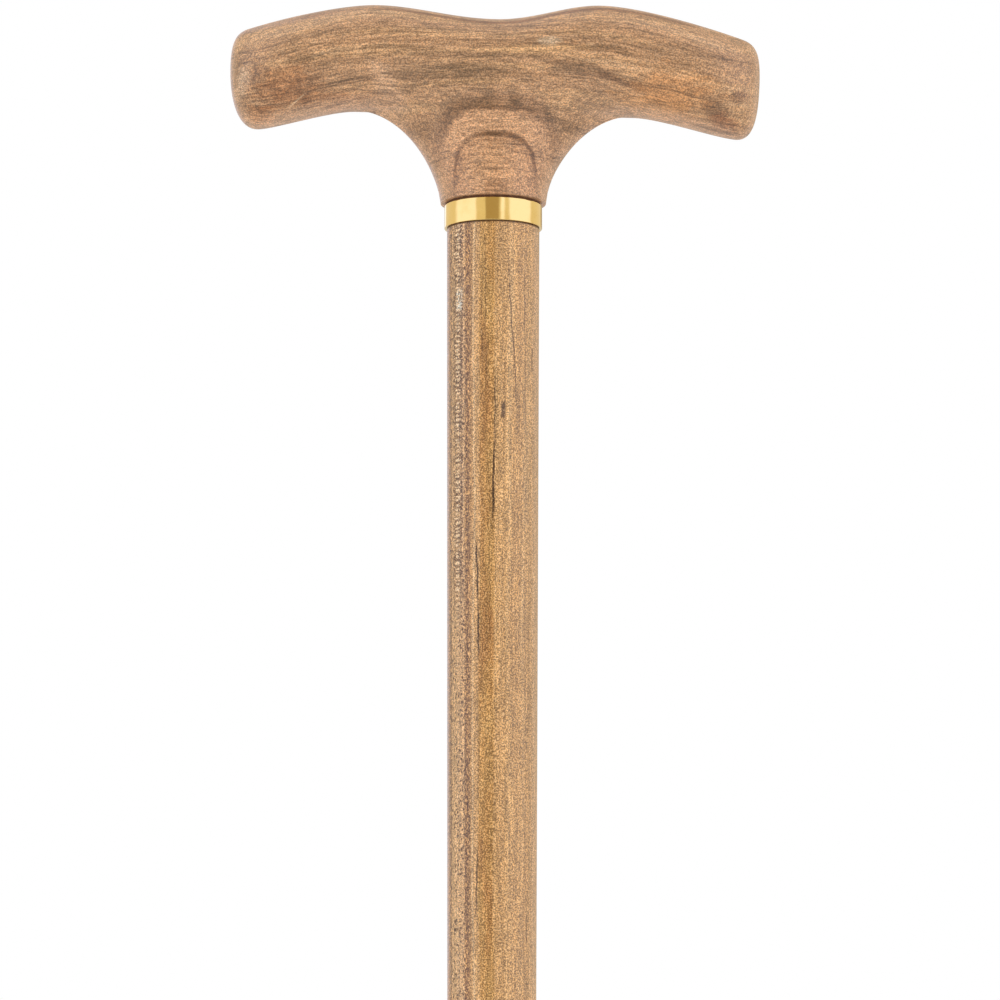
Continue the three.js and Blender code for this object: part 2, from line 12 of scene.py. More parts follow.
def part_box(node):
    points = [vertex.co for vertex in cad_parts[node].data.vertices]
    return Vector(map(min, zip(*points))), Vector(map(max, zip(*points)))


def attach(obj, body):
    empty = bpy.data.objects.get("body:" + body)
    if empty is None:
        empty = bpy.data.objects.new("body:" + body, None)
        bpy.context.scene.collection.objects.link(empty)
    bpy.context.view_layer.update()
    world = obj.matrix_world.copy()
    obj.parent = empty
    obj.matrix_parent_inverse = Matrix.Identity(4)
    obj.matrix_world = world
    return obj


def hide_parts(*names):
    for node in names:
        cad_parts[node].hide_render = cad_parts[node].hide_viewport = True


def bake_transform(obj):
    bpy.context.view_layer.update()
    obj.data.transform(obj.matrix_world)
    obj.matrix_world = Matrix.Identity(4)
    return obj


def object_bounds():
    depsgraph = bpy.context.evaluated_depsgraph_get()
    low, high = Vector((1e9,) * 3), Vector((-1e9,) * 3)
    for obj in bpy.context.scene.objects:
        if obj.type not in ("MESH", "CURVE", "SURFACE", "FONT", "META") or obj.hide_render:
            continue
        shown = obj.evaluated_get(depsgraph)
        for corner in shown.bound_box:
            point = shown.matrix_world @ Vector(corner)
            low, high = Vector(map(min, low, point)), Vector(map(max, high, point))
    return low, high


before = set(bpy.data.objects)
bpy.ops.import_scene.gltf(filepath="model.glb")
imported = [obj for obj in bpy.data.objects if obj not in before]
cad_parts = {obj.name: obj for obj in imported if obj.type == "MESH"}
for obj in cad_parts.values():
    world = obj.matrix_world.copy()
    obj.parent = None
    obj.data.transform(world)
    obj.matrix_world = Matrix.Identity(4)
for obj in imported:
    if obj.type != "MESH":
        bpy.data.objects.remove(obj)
cad_low, cad_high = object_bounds()

MM = 0.001
TINY = 1e-6
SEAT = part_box("collar")[1].z
THREAD_PITCH = 2.0
# Room left in glued joints and round fitted pieces
GAP = 0.05


def level(z):
    """Height above the seat, in millimetres, of a height in the frame."""
    return (z - SEAT) / MM


def ends(node):
    """(bottom, top, widest radius) of a round node, in millimetres, heights from the seat."""
    low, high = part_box(node)
    return level(low.z), level(high.z), max(-low.y, high.y) / MM


# Mesh helpers

def fillet(points, radius, closed):
    """Rounds the corners of a profile, with a holding point on each side so that flats stay flat."""
    steps, hold, least_hold, least_turn = 3, 0.06, 1e-4, math.radians(15)
    made = []
    count = len(points)
    for i, p in enumerate(points):
        if not closed and i in (0, count - 1):
            made.append(tuple(p))
            continue
        p = Vector(p)
        a, b = Vector(points[i - 1]), Vector(points[(i + 1) % count])
        before, after = (a - p), (b - p)
        room = min(before.length, after.length)
        if room < TINY or p.x < TINY:
            made.append(tuple(p))
            continue
        turn = math.pi - before.angle(after)
        if turn < least_turn:
            made.append(tuple(p))
            continue
        cut = min(radius * math.tan(turn / 2), 0.4 * room)
        first, last = p + before.normalized() * cut, p + after.normalized() * cut
        extra = min(hold, 0.3 * (room / 2 - cut * 0.9)) if room > 4 * cut else 0
        if extra > least_hold:
            made.append(tuple(first + before.normalized() * extra))
        for k in range(steps + 1):
            t = k / steps
            made.append(tuple(first * (1 - t) ** 2 + p * 2 * t * (1 - t) + last * t ** 2))
        if extra > least_hold:
            made.append(tuple(last + after.normalized() * extra))
    return made


def link(thing):
    bpy.context.scene.collection.objects.link(thing)
    return thing


def finish_mesh(name, bm, body, material, nodes, sharp=32):
    """Turns a bmesh in millimetres from the seat into a piece that rides on a body."""
    bmesh.ops.remove_doubles(bm, verts=bm.verts, dist=1e-5)
    bmesh.ops.dissolve_degenerate(bm, edges=bm.edges, dist=TINY)
    bmesh.ops.recalc_face_normals(bm, faces=bm.faces)
    for v in bm.verts:
        v.co = Vector((v.co.x * MM, v.co.y * MM, v.co.z * MM + SEAT))
    mesh = bpy.data.meshes.new(name)
    bm.to_mesh(mesh)
    bm.free()
    mesh.shade_smooth()
    mesh.set_sharp_from_angle(angle=math.radians(sharp))
    piece = link(bpy.data.objects.new(name, mesh))
    mesh.materials.append(material)
    if body:
        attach(piece, body)
    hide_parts(*nodes)
    return piece


def sweep(rings, closed):
    """Joins rings of points, each a list of the same length or a single point, into a bmesh."""
    bm = bmesh.new()
    made = [[bm.verts.new(p) for p in ring] for ring in rings]
    pairs = list(zip(made, made[1:]))
    if closed:
        pairs.append((made[-1], made[0]))
    for a, b in pairs:
        count = max(len(a), len(b))
        for i in range(count):
            k = (i + 1) % count
            corners = [a[i % len(a)], a[k % len(a)], b[k % len(b)], b[i % len(b)]]
            corners = list(dict.fromkeys(corners))
            if len(corners) > 2:
                bm.faces.new(corners)
    return bm


def lathe(name, profile, body, material, nodes, sides=96, soft=0.12, shape=None):
    """A turned piece. shape(angle, radius, height) may move the radius, for threads and milling."""
    closed = profile[0][0] > TINY
    rings = []
    for radius, height in fillet(profile, soft, closed):
        if radius < TINY:
            rings.append([(0, 0, height)])
            continue
        ring = []
        for i in range(sides):
            angle = 2 * math.pi * i / sides
            r = shape(angle, radius, height) if shape else radius
            ring.append((r * math.cos(angle), r * math.sin(angle), height))
        rings.append(ring)
    return finish_mesh(name, sweep(rings, closed), body, material, nodes)


def make_ring(name, node, inner, body, material, soft, sides=96):
    """A washer or tube that fills the place of a node, or a disc when inner is 0."""
    low, high, outer = ends(node)
    profile = [(inner, low), (outer, low), (outer, high), (inner, high)]
    lathe(name, profile, body, material, [node], sides=sides, soft=soft)


def groove(angle, height, pitch, steepness, flat):
    """Depth of a right-hand helical groove, from 0 at its crest to 1 at its root."""
    turn = (height / pitch - angle / (2 * math.pi)) % 1.0
    return min(max(steepness * (0.5 + 0.5 * math.cos(2 * math.pi * turn)) - flat, 0), 1)


def thread_shape(crest, root, low, high):
    """A thread cut from the crest radius to the root radius between two heights, fading out at both."""
    fade = 1.2

    def shape(angle, radius, height):
        if abs(radius - crest) > 0.01 or not low < height < high:
            return radius
        depth = groove(angle, height, THREAD_PITCH, 1.5, 0.25)
        edge = min((height - low) / fade, (high - height) / fade, 1.0)
        return radius + (root - crest) * depth * edge
    return shape


def wall(radius, start, end):
    """Points up or down a wall, about 0.1 mm apart, for a thread."""
    count = max(int(abs(end - start) / 0.1), 1)
    return [(radius, start + (end - start) * i / count) for i in range(count + 1)]


# Material helpers

def srgb(r, g, b):
    """Linear colour of an sRGB one in 0 to 255."""
    def line(c):
        c /= 255
        return c / 12.92 if c <= 0.04045 else ((c + 0.055) / 1.055) ** 2.4
    return (line(r), line(g), line(b), 1)


def connect(tree, value, socket):
    """Links a value that is a node's output, and sets the socket to any other."""
    if isinstance(value, bpy.types.NodeSocket):
        tree.links.new(value, socket)
    else:
        socket.default_value = value


def add_node(tree, kind, *entries, **settings):
    """Outputs of a new node with its settings made and its first sockets linked or set."""
    node = tree.nodes.new("ShaderNode" + kind)
    for key, value in settings.items():
        setattr(node, key, value)
    for entry, socket in zip(entries, node.inputs):
        connect(tree, entry, socket)
    return node.outputs


def set_stops(ramp, stops):
    """Gives a colour ramp its stops, each a place from 0 to 1 and a linear colour."""
    entries = ramp.node.color_ramp.elements
    while len(entries) < len(stops):
        entries.new(0.5)
    for entry, (place, colour) in zip(entries, stops):
        entry.position = place
        entry.color = colour


class Paint:
    """A material's node tree with short calls for its nodes. x, y, z are millimetres, z from the seat."""

    def __init__(self, name):
        self.material = bpy.data.materials.new(name)
        self.material.use_nodes = True
        self.tree = self.material.node_tree
        self.shader = self.tree.nodes["Principled BSDF"]
        place = self.add("TexCoord")
        self.place = self.vector("MULTIPLY", place["Object"], (1 / MM,) * 3)
        self.x, self.y, z = self.add("SeparateXYZ", self.place)
        self.z = self.math("SUBTRACT", z, SEAT / MM)
        self.normal = self.add("SeparateXYZ", place["Normal"])

    def add(self, kind, *entries, **settings):
        return add_node(self.tree, kind, *entries, **settings)

    def join(self, value, socket):
        connect(self.tree, value, socket)

    def math(self, operation, *values):
        return self.add("Math", *values, operation=operation)[0]

    def product(self, *values):
        """All the values multiplied together."""
        made = values[0]
        for value in values[1:]:
            made = self.math("MULTIPLY", made, value)
        return made

    def vector(self, operation, *values):
        return self.add("VectorMath", *values, operation=operation)[0]

    def length(self, place):
        return self.add("VectorMath", place, operation="LENGTH")["Value"]

    def stretch(self, x, y, z, place=None):
        return self.vector("MULTIPLY", place or self.place, (x, y, z))

    def placed(self, *parts):
        """A place whose three parts are values, plain numbers or (value, factor) pairs."""
        return self.add("CombineXYZ", *(self.product(*part) if isinstance(part, tuple) else part
                                        for part in parts))[0]

    def swing(self, value, reach):
        """A noise from 0 to 1 made to swing about 0, over reach in all."""
        return self.product(self.math("SUBTRACT", value, 0.5), reach)

    def noise(self, place, scale=1.0, detail=2.0, rough=0.5):
        return self.add("TexNoise", place, 0, scale, detail, rough)["Fac"]

    def cells(self, place, scale=1.0):
        return self.add("TexVoronoi", place, 0, scale)["Distance"]

    def span(self, value, low, high, to_low=0.0, to_high=1.0, smooth=True):
        """value from low to high, spread over to_low to to_high and held at the ends."""
        how = "SMOOTHSTEP" if smooth else "LINEAR"
        return self.add("MapRange", value, low, high, to_low, to_high, interpolation_type=how)[0]

    def bump_in(self, value, middle, half, soft):
        """1 within half of middle, falling to 0 over soft."""
        off = self.math("ABSOLUTE", self.math("SUBTRACT", value, middle))
        return self.span(off, half, half + soft, 1, 0)

    def ramp(self, value, stops, low=0.0, high=1.0):
        """sRGB colours at places between low and high. stops are (place, colour)."""
        made = self.add("ValToRGB", self.span(value, low, high, smooth=False))[0]
        set_stops(made, [((place - low) / (high - low), srgb(*colour)) for place, colour in stops])
        return made

    def mix(self, share, a, b):
        """Colour a changing to b by share. Each is a node's output or three sRGB numbers."""
        made = self.add("Mix", share, data_type="RGBA")[2]
        for value, index in ((a, 6), (b, 7)):
            self.join(srgb(*value) if isinstance(value, tuple) else value, made.node.inputs[index])
        return made

    def lay(self, share, tone):
        """Blends a tone into the colour so far, by share."""
        self.colour = self.mix(share, self.colour, tone)

    def tint(self, size, first, second):
        """Grains of two tints side by side, each tint a factor on the colour so far."""
        hue = self.noise(self.vector("ADD", self.stretch(*size), (7, 3, 5)), detail=1)
        tints = [self.vector("MULTIPLY", self.colour, factor) for factor in (first, second)]
        self.colour = self.mix(self.span(hue, 0.36, 0.64), *tints)

    def oval(self, middle, reach, tilt):
        """Distance from the middle of an oval body, tilted in the front view; 1 is its surface."""
        turn = math.radians(tilt)
        east, north = self.math("SUBTRACT", self.x, middle[0]), self.math("SUBTRACT", self.z, middle[2])
        along = self.math("MULTIPLY_ADD", east, math.cos(turn), self.product(north, math.sin(turn)))
        across = self.math("MULTIPLY_ADD", east, -math.sin(turn), self.product(north, math.cos(turn)))
        deep = self.math("SUBTRACT", self.y, middle[1])
        off = self.stretch(1 / reach[0], 1 / reach[1], 1 / reach[2], self.placed(along, deep, across))
        return self.length(off)

    def patch(self, middle, reach, tilt, tone, strength, ragged):
        """Blends a tone into the colour so far over a soft oval body with a ragged edge."""
        far = self.math("MULTIPLY_ADD", ragged, 1.6, self.oval(middle, reach, tilt))
        self.lay(self.span(far, 0.35, 1.15, strength, 0), tone)

    def shade(self, amount):
        """Makes the colour so far darker or lighter by a grey amount."""
        made = self.add("VectorMath", self.colour, operation="SCALE")[0]
        self.join(amount, made.node.inputs["Scale"])
        self.colour = made

    def bump(self, height, depth, strength):
        made = self.add("Bump", strength, depth * MM)[0]
        self.join(height, made.node.inputs["Height"])
        self.join(made, self.shader.inputs["Normal"])

    def set(self, **values):
        names = {"base": "Base Color", "rough": "Roughness", "metal": "Metallic", "coat": "Coat Weight",
                 "coat_rough": "Coat Roughness", "ior": "IOR", "clear": "Transmission Weight",
                 "sheen": "Sheen Weight"}
        for key, value in values.items():
            self.join(value, self.shader.inputs[names[key]])
        return self.material


# Wood of the handle

def make_walnut():
    """Brown hardwood with its grain along the arms and rounded growth layers on the front of the neck."""
    p = Paint("walnut")
    out = p.math("ABSOLUTE", p.x)
    away = p.span(out, 12, 46)

    # height along the grain, which follows the grip down towards its two ends and leans with it
    flow = p.math("ADD", p.math("MULTIPLY_ADD", p.x, 0.021, p.z), p.span(out, 24, 62, 0, 6.5))
    drift = p.noise(p.stretch(0.02, 0.03, 0.05))
    flow = p.math("ADD", flow, p.swing(drift, 9.0))

    # growth layers through the depth of the wood, which show as hair lines
    slow = p.noise(p.stretch(0.03, 0.05, 0.05))
    wander = p.swing(slow, p.math("MULTIPLY_ADD", away, 6.0, 1.6))
    leaf = p.math("ADD", p.math("MULTIPLY_ADD", p.z, 0.45, p.y), wander)

    # the layers under the grip, which show on the neck as rounded arches one inside the other
    squareness = 3.4
    half_span = p.product(p.math("ABSOLUTE", p.math("SUBTRACT", p.x, 0.6)), 1.54)
    rise = p.math("POWER", p.math("MAXIMUM", p.z, 0.0), squareness)
    arch = p.math("ADD", p.math("POWER", half_span, squareness), rise)
    arch = p.math("POWER", arch, 1 / squareness)
    shiver = p.noise(p.stretch(0.12, 0.12, 0.12), detail=3, rough=0.6)
    arch = p.math("ADD", arch, p.swing(shiver, 2.6))
    arches = p.ramp(arch, [
        (0, (170, 122, 80)), (2.4, (146, 100, 60)), (3.4, (138, 94, 56)), (4.4, (188, 143, 106)),
        (8.0, (198, 153, 117)), (8.5, (184, 140, 105)), (9.1, (198, 153, 117)),
        (11.4, (200, 155, 119)), (11.9, (180, 136, 102)), (12.5, (197, 152, 116)),
        (13.4, (184, 140, 106)), (13.8, (168, 126, 93)), (14.2, (188, 143, 108)), (14.9, (126, 90, 61)),
        (15.5, (120, 85, 57)), (16.2, (196, 152, 118)),
        (19.2, (205, 161, 126)), (20.8, (192, 149, 116)), (22.2, (138, 104, 76)),
        (24.0, (134, 101, 74)), (25.4, (156, 122, 94)), (28, (172, 137, 108)),
    ], 0, 28)

    # the arches fade in patches, at the collar and towards the back
    faint = p.span(p.noise(p.stretch(0.14, 0.1, 0.14)), 0.4, 0.6, 0.5, 0)
    faint = p.math("MAXIMUM", faint, p.span(p.z, 1, 12, 0.6, 0))
    faint = p.math("MAXIMUM", faint, p.span(p.y, 2, 9, 0, 0.6))
    arches = p.mix(faint, arches, (193, 150, 118))

    # and along the legs of the outer ones
    legs = p.product(p.span(out, 9, 13), p.span(p.z, 13, 21, 1, 0), 0.5)
    arches = p.mix(legs, arches, (180, 141, 112))

    # bands and streaks along the beam
    broad = p.noise(p.placed((p.x, 0.011), (flow, 0.3), (p.y, 0.06)), detail=3, rough=0.55)
    beam = p.ramp(broad, [(0.3, (150, 116, 87)), (0.42, (172, 134, 102)), (0.5, (182, 143, 111)),
                          (0.58, (190, 150, 114)), (0.7, (198, 160, 126))], 0.3, 0.7)
    p.colour = p.mix(p.span(arch, 24.5, 28), arches, beam)

    # what shows where on the front, grain figure and two painted highlights: middle, reach along, deep and
    # across, tilt, colour, strength
    figures_and_highlights = [
        ((-50, -12, 27), (9, 14, 5.8), 12, (162, 114, 78), 0.5),
        ((-57, -11, 19), (6, 12, 4), 40, (190, 124, 72), 0.55),
        ((-36, -12, 22.5), (10, 14, 5), -4, (158, 108, 70), 0.65),
        # painted highlight: a pale streak where the left arm curves down into the neck
        ((-25, -12, 26), (3.2, 14, 9), 28, (206, 168, 140), 0.55),
        ((-9, -13, 30.4), (17, 14, 2.4), 2, (138, 108, 82), 0.8),
        ((-4, -13, 34.5), (22, 14, 1.1), 0, (136, 106, 82), 0.6),
        ((9, -13, 36), (16, 14, 1.4), 2, (206, 164, 120), 0.55),
        ((13, -12, 38), (3.4, 14, 1.5), 0, (210, 186, 162), 0.55),
        ((22, -13, 31.2), (13, 14, 2.3), -12, (136, 104, 78), 0.75),
        ((30, -12, 28.8), (8, 14, 1.3), -16, (116, 82, 56), 0.7),
        ((24, -12, 23.5), (6, 14, 4.5), 35, (158, 126, 100), 0.6),
        ((43, -12, 26), (13, 14, 6), -8, (190, 134, 84), 0.65),
        ((44, -12, 22), (9, 14, 1.1), -20, (122, 84, 54), 0.65),
        ((2, -13, 21.6), (12.5, 14, 1.0), 0, (112, 80, 54), 0.6),
        ((53.5, -11, 22), (4.5, 14, 3.4), -38, (120, 84, 56), 0.65),
        ((59, -9, 25), (3.2, 14, 1.9), 50, (112, 80, 58), 0.55),
        ((-53, -11, 23.5), (6, 14, 0.9), 34, (122, 84, 54), 0.5),
        ((-49, -12, 27), (5, 14, 0.8), 30, (122, 84, 54), 0.45),
        ((-54, -11, 27.6), (4, 14, 0.8), 24, (126, 88, 58), 0.3),
        # painted highlight: a pale band down the rounded left end
        ((-60.5, -8, 29), (2, 14, 5), -12, (222, 192, 166), 0.45),
        ((-33, -12, 23.5), (12, 14, 2.6), 4, (126, 88, 60), 0.55),
        ((42, -12, 21), (15, 14, 3.0), -17, (216, 160, 106), 0.6),
        ((56, -10, 19), (4.5, 14, 3), -20, (150, 96, 64), 0.6),
    ]
    ragged = p.math("SUBTRACT", p.noise(p.stretch(0.16, 0.3, 0.5), detail=3, rough=0.65), 0.5)
    for middle, reach, tilt, tone, strength in figures_and_highlights:
        p.patch(middle, reach, tilt, tone, strength, ragged)

    # an eye in the grain near the left end, drawn by broken lines, with a pale scratch across its foot
    eye = p.math("MULTIPLY_ADD", ragged, 1.5, p.oval((-50, -12, 27), (10.5, 14, 6.6), 8))
    broken = p.span(p.noise(p.stretch(0.2, 0.2, 0.3)), 0.44, 0.58)
    p.lay(p.span(eye, 0.4, 1.05, 0.25, 0), (176, 118, 72))
    for place, width, strength in ((1.0, 0.06, 0.42), (0.7, 0.05, 0.4), (0.36, 0.1, 0.4)):
        line = p.product(p.bump_in(eye, place, width, width * 2), broken, strength)
        p.lay(line, (104, 68, 42))
    scratch = p.oval((-48.5, -12, 23.4), (4.6, 6, 0.3), 36)
    p.lay(p.span(scratch, 0.5, 1.1, 0.8, 0), (234, 204, 172))

    # painted light: paler towards the edges, most on those turned downwards, for light thrown up from the
    # floor; and a brown line along the crest on the front, where the surface slants up at one angle
    facing = p.math("ABSOLUTE", p.normal[1])
    painted_rim_light = p.product(p.span(facing, 0.25, 0.7, 0.5, 0), p.span(p.normal[2], 0.2, 0.75, 1, 0.35))
    p.lay(painted_rim_light, (208, 170, 144))
    crest = p.product(p.bump_in(p.normal[2], 0.83, 0.014, 0.05), p.span(drift, 0.35, 0.55, 0.35, 0.85),
                      p.span(p.y, -7, -3, 1, 0), p.span(out, 44, 54, 1, 0))
    p.lay(crest, (134, 94, 66))

    # lines along the grain, in sheaves
    sheaf = p.span(p.noise(p.placed((p.x, 0.02), (flow, 0.16), 4.0)), 0.38, 0.6)
    fine = p.noise(p.placed((p.x, 0.028), (flow, 1.35), (p.y, 0.2)), detail=4, rough=0.75)
    drawn = p.product(p.span(fine, 0.5, 0.62, 0, 0.46), p.math("MULTIPLY_ADD", sheaf, 0.75, 0.25))
    lines = p.math("SUBTRACT", 1.1, drawn)
    hair = p.noise(p.placed((p.x, 0.02), (leaf, 2.4), 1.0), rough=0.6)
    hairs = p.span(hair, 0.4, 0.62, 0.92, 1.05)
    fibre = p.noise(p.placed((p.x, 0.16), (flow, 1.5), (p.y, 1.5)), detail=3, rough=0.7)
    fibres = p.span(fibre, 0.36, 0.64, 0.74, 1.22)
    speck = p.noise(p.stretch(2.6, 3.6, 3.6), detail=1)
    specks = p.span(speck, 0.36, 0.64, 0.62, 1.38)
    pore = p.noise(p.stretch(0.5, 2.6, 2.6), detail=1)
    pores = p.span(pore, 0.58, 0.7, 1.0, 0.7)

    p.tint((2.4, 3.2, 3.2), (1.05, 0.935, 0.745), (0.97, 0.97, 0.9))
    p.shade(p.product(lines, fibres, pores, specks, hairs))
    p.bump(p.math("MULTIPLY_ADD", fibres, 0.5, pores), 0.04, 0.35)
    return p.set(base=p.colour, rough=p.span(fibre, 0.3, 0.7, 0.4, 0.52), coat=0.22, coat_rough=0.3)


# Wood of the shaft

def make_maple():
    """Pale wood: a plain front with a golden streak, and two flanks cut through the rays."""
    p = Paint("maple")
    radius = ends("shaft")[2]
    angle = p.math("ARCTAN2", p.x, p.product(p.y, -1.0))
    slow = p.noise(p.stretch(0.04, 0.04, 0.02))
    sway = p.swing(slow, 2.2)
    # millimetres round the shaft from its front, to the right
    around = p.product(angle, radius)
    swayed = p.math("ADD", around, sway)

    # plain face: broad soft bands and long fibres
    band = p.noise(p.placed((swayed, 0.35), (p.z, 0.006), 0.0), detail=3, rough=0.6)
    p.colour = p.ramp(band, [(0.3, (186, 144, 100)), (0.45, (196, 152, 105)), (0.6, (202, 159, 112)),
                             (0.7, (206, 166, 122))], 0.3, 0.7)
    # pinker towards both edges of the front
    p.lay(p.span(p.math("ABSOLUTE", around), 9, 13, 0, 0.5), (200, 160, 130))
    p.lay(p.span(around, -13, -10.5, 0.7, 0), (168, 128, 100))

    # golden heart left of the front, with a painted highlight beside it: a pale streak of light down the
    # shaft
    gold = p.bump_in(swayed, -1.7, 1.5, 0.8)
    patchy = p.noise(p.placed((swayed, 0.25), (p.z, 0.05), 2.0), detail=3, rough=0.6)
    heart = p.ramp(patchy, [(0.35, (164, 112, 58)), (0.48, (182, 134, 76)),
                            (0.65, (194, 150, 92))], 0.35, 0.65)
    p.lay(p.product(gold, 0.85), heart)
    p.lay(p.product(p.bump_in(swayed, -4.5, 0.8, 0.5), 0.75), (200, 158, 114))
    p.lay(p.product(p.bump_in(swayed, -4.9, 0.1, 0.2), 0.6), (226, 194, 158))

    # quarter-sawn flanks, where the rays show as dots, and down the middle as a chain of ovals
    side = p.product(p.math("SINE", p.math("ADD", angle, math.radians(50))), radius)
    off = p.math("ABSOLUTE", side)
    dash = p.noise(p.placed((side, 2.0), (p.z, 0.9), 0.0), rough=0.7)
    flank = p.mix(p.span(dash, 0.44, 0.62), (100, 60, 34), (204, 156, 106))
    p.lay(p.span(off, 3.2, 5.0, 0.9, 0), flank)
    dots = p.span(p.cells(p.placed((side, 1.05), (p.z, 0.95), 0.0)), 0.22, 0.4)
    dotted = p.mix(dots, (84, 52, 30), (220, 178, 136))
    p.lay(p.span(off, 2.0, 2.8, 0.9, 0), dotted)
    wave = p.product(p.noise(p.placed(0.0, 0.0, (p.z, 0.42))), 2.6)
    within = p.math("SUBTRACT", p.math("FRACT", p.math("MULTIPLY_ADD", p.z, 1 / 1.08, wave)), 0.5)
    bent = p.math("ADD", side, p.swing(p.noise(p.placed(0.0, 3.0, (p.z, 0.9))), 2.4))
    ring = p.length(p.stretch(1 / 1.55, 2.0, 0, p.placed(bent, within, 0.0)))
    ring = p.math("ADD", ring, p.swing(dash, 2.6))
    chain = p.ramp(ring, [(0.0, (240, 212, 184)), (0.5, (228, 194, 160)), (0.75, (128, 90, 60)),
                          (0.95, (70, 42, 24)), (1.1, (130, 92, 62)), (1.35, (204, 166, 132))], 0, 1.35)
    gaps = p.span(p.noise(p.placed(0.0, 7.0, (p.z, 0.16))), 0.36, 0.5, 0.25, 1.0)
    linked = p.product(p.span(off, 1.7, 2.1, 1, 0), p.span(p.z, -106, -90, 0.2, 1.0), gaps,
                       p.span(p.x, -3, 3, 1.0, 0.4))
    p.lay(linked, chain)

    # painted highlight: a silvery glint of light high on the left flank, broken up by fine noise
    painted_glint = p.product(p.bump_in(p.z, -24.4, 1.6, 1.6), p.bump_in(around, -9.2, 0.7, 0.7),
                      p.span(p.noise(p.stretch(1.6, 1.6, 1.3), detail=1), 0.46, 0.56))
    p.lay(p.product(painted_glint, 0.8), (240, 238, 236))

    # mineral lines and flecks: places round the shaft at the top and the bottom, those two levels,
    # half width, strength
    marks = [
        (3.6, 6.2, -8, -58, 0.1, 0.75), (8.2, 8.9, -8, -62, 0.09, 0.6),
        (0.4, 0.0, -55, -82, 0.17, 0.95), (0.6, 0.4, -40, -62, 0.12, 0.7),
        (-4.0, -3.7, -80, -101, 0.14, 1.0), (-3.6, -3.4, -97, -114, 0.14, 1.0),
        (-3.7, -4.1, -156, -176, 0.11, 0.85), (2.5, 2.4, -49, -55, 0.32, 0.9),
        (11.3, 11.2, -35, -43, 0.2, 0.8), (-10.6, -10.6, -173.6, -175, 0.3, 0.9),
        (-10.6, -10.6, -175.6, -177, 0.3, 0.9), (9.9, 9.8, -172, -180, 0.12, 0.7),
        (-1.9, -1.6, -6, -52, 0.1, 0.45), (6.6, 6.2, -120, -150, 0.08, 0.3),
        (-2.9, -2.7, -20, -40, 0.09, 0.5),
    ]
    wobble = p.swing(p.noise(p.placed(0.0, 0.0, (p.z, 0.18))), 1.1)
    shifted = p.math("ADD", around, wobble)
    for upper, lower, top, bottom, half, strength in marks:
        place = p.span(p.z, bottom, top, lower, upper)
        across = p.bump_in(p.math("SUBTRACT", shifted, place), 0.0, half * 0.8, half * 1.4)
        middle, reach = (top + bottom) / 2, (top - bottom) / 2
        along = p.bump_in(p.z, middle, reach * 0.4, reach * 0.6)
        p.lay(p.product(across, along, strength), (72, 44, 26))

    # growth lines, fibres, and the fine grain of the whole surface
    line = p.noise(p.placed((swayed, 1.3), (p.z, 0.006), 3.0), detail=4, rough=0.7)
    lines = p.span(line, 0.5, 0.68, 1.02, 0.86)
    fibre = p.noise(p.stretch(1.6, 1.6, 0.09), detail=3, rough=0.7)
    fibres = p.span(fibre, 0.36, 0.64, 0.78, 1.16)
    speck = p.noise(p.stretch(3.6, 3.6, 3.0), detail=1)
    # the specks are strong in the first 200 mm under the collar and weaker below 260 mm
    near = p.span(p.z, -260, -200)
    specks = p.span(speck, 0.36, 0.64, p.span(near, 0, 1, 0.72, 0.48), p.span(near, 0, 1, 1.22, 1.46))
    p.lay(p.product(p.span(speck, 0.52, 0.68, 0, 0.2), near), (236, 206, 166))
    p.tint((3.2, 3.2, 2.6), (1.02, 0.93, 0.71), (0.97, 0.95, 0.875))
    p.shade(p.product(lines, fibres, specks))
    # a thin dark brown band on the shaft just under the collar
    joint = p.product(p.bump_in(p.z, ends("collar")[0] - 0.15, 0.14, 0.16), 0.85)
    p.lay(joint, (92, 58, 22))
    p.bump(p.math("MULTIPLY_ADD", dots, p.span(off, 1.9, 2.6, 0.5, 0), fibres), 0.03, 0.3)
    return p.set(base=p.colour, rough=p.span(fibre, 0.3, 0.7, 0.36, 0.46), coat=0.22, coat_rough=0.25)


# Metals, rubber, felt, cork and glass

def make_metal(name, colour, dull, rough, scratch=0.25, turned=0.0, wave=0.0):
    """A worked metal: faint tarnish, fine scratches, turning marks round the axis, a slight unevenness."""
    p = Paint(name)
    stain = p.noise(p.place, scale=0.25, detail=4, rough=0.6)
    tone = p.mix(p.span(stain, 0.45, 0.75, 0, 0.6), colour, dull)
    across = p.noise(p.stretch(0.3, 0.3, 9.0), detail=3, rough=0.7)
    grit = p.noise(p.place, scale=6.0)
    uneven = p.noise(p.place, scale=0.3, detail=1)
    height = p.math("ADD", p.product(across, turned), p.product(grit, scratch))
    p.bump(p.math("MULTIPLY_ADD", uneven, wave, height), 0.02, 0.25)
    worn = p.math("MULTIPLY_ADD", p.span(across, 0.3, 0.7), 0.08, rough)
    return p.set(base=tone, rough=worn, metal=1.0)


def make_plain(name, colour, dark, rough, grain, depth, **more):
    """A soft or moulded stuff with mottling and a fine grained surface."""
    p = Paint(name)
    mottle = p.noise(p.place, scale=grain * 0.3, detail=4, rough=0.6)
    tone = p.mix(p.span(mottle, 0.35, 0.7), colour, dark)
    fine = p.noise(p.place, scale=grain, detail=3, rough=0.7)
    p.bump(fine, depth, 0.6)
    return p.set(base=tone, rough=p.span(fine, 0.3, 0.7, rough - 0.06, rough + 0.06), **more)


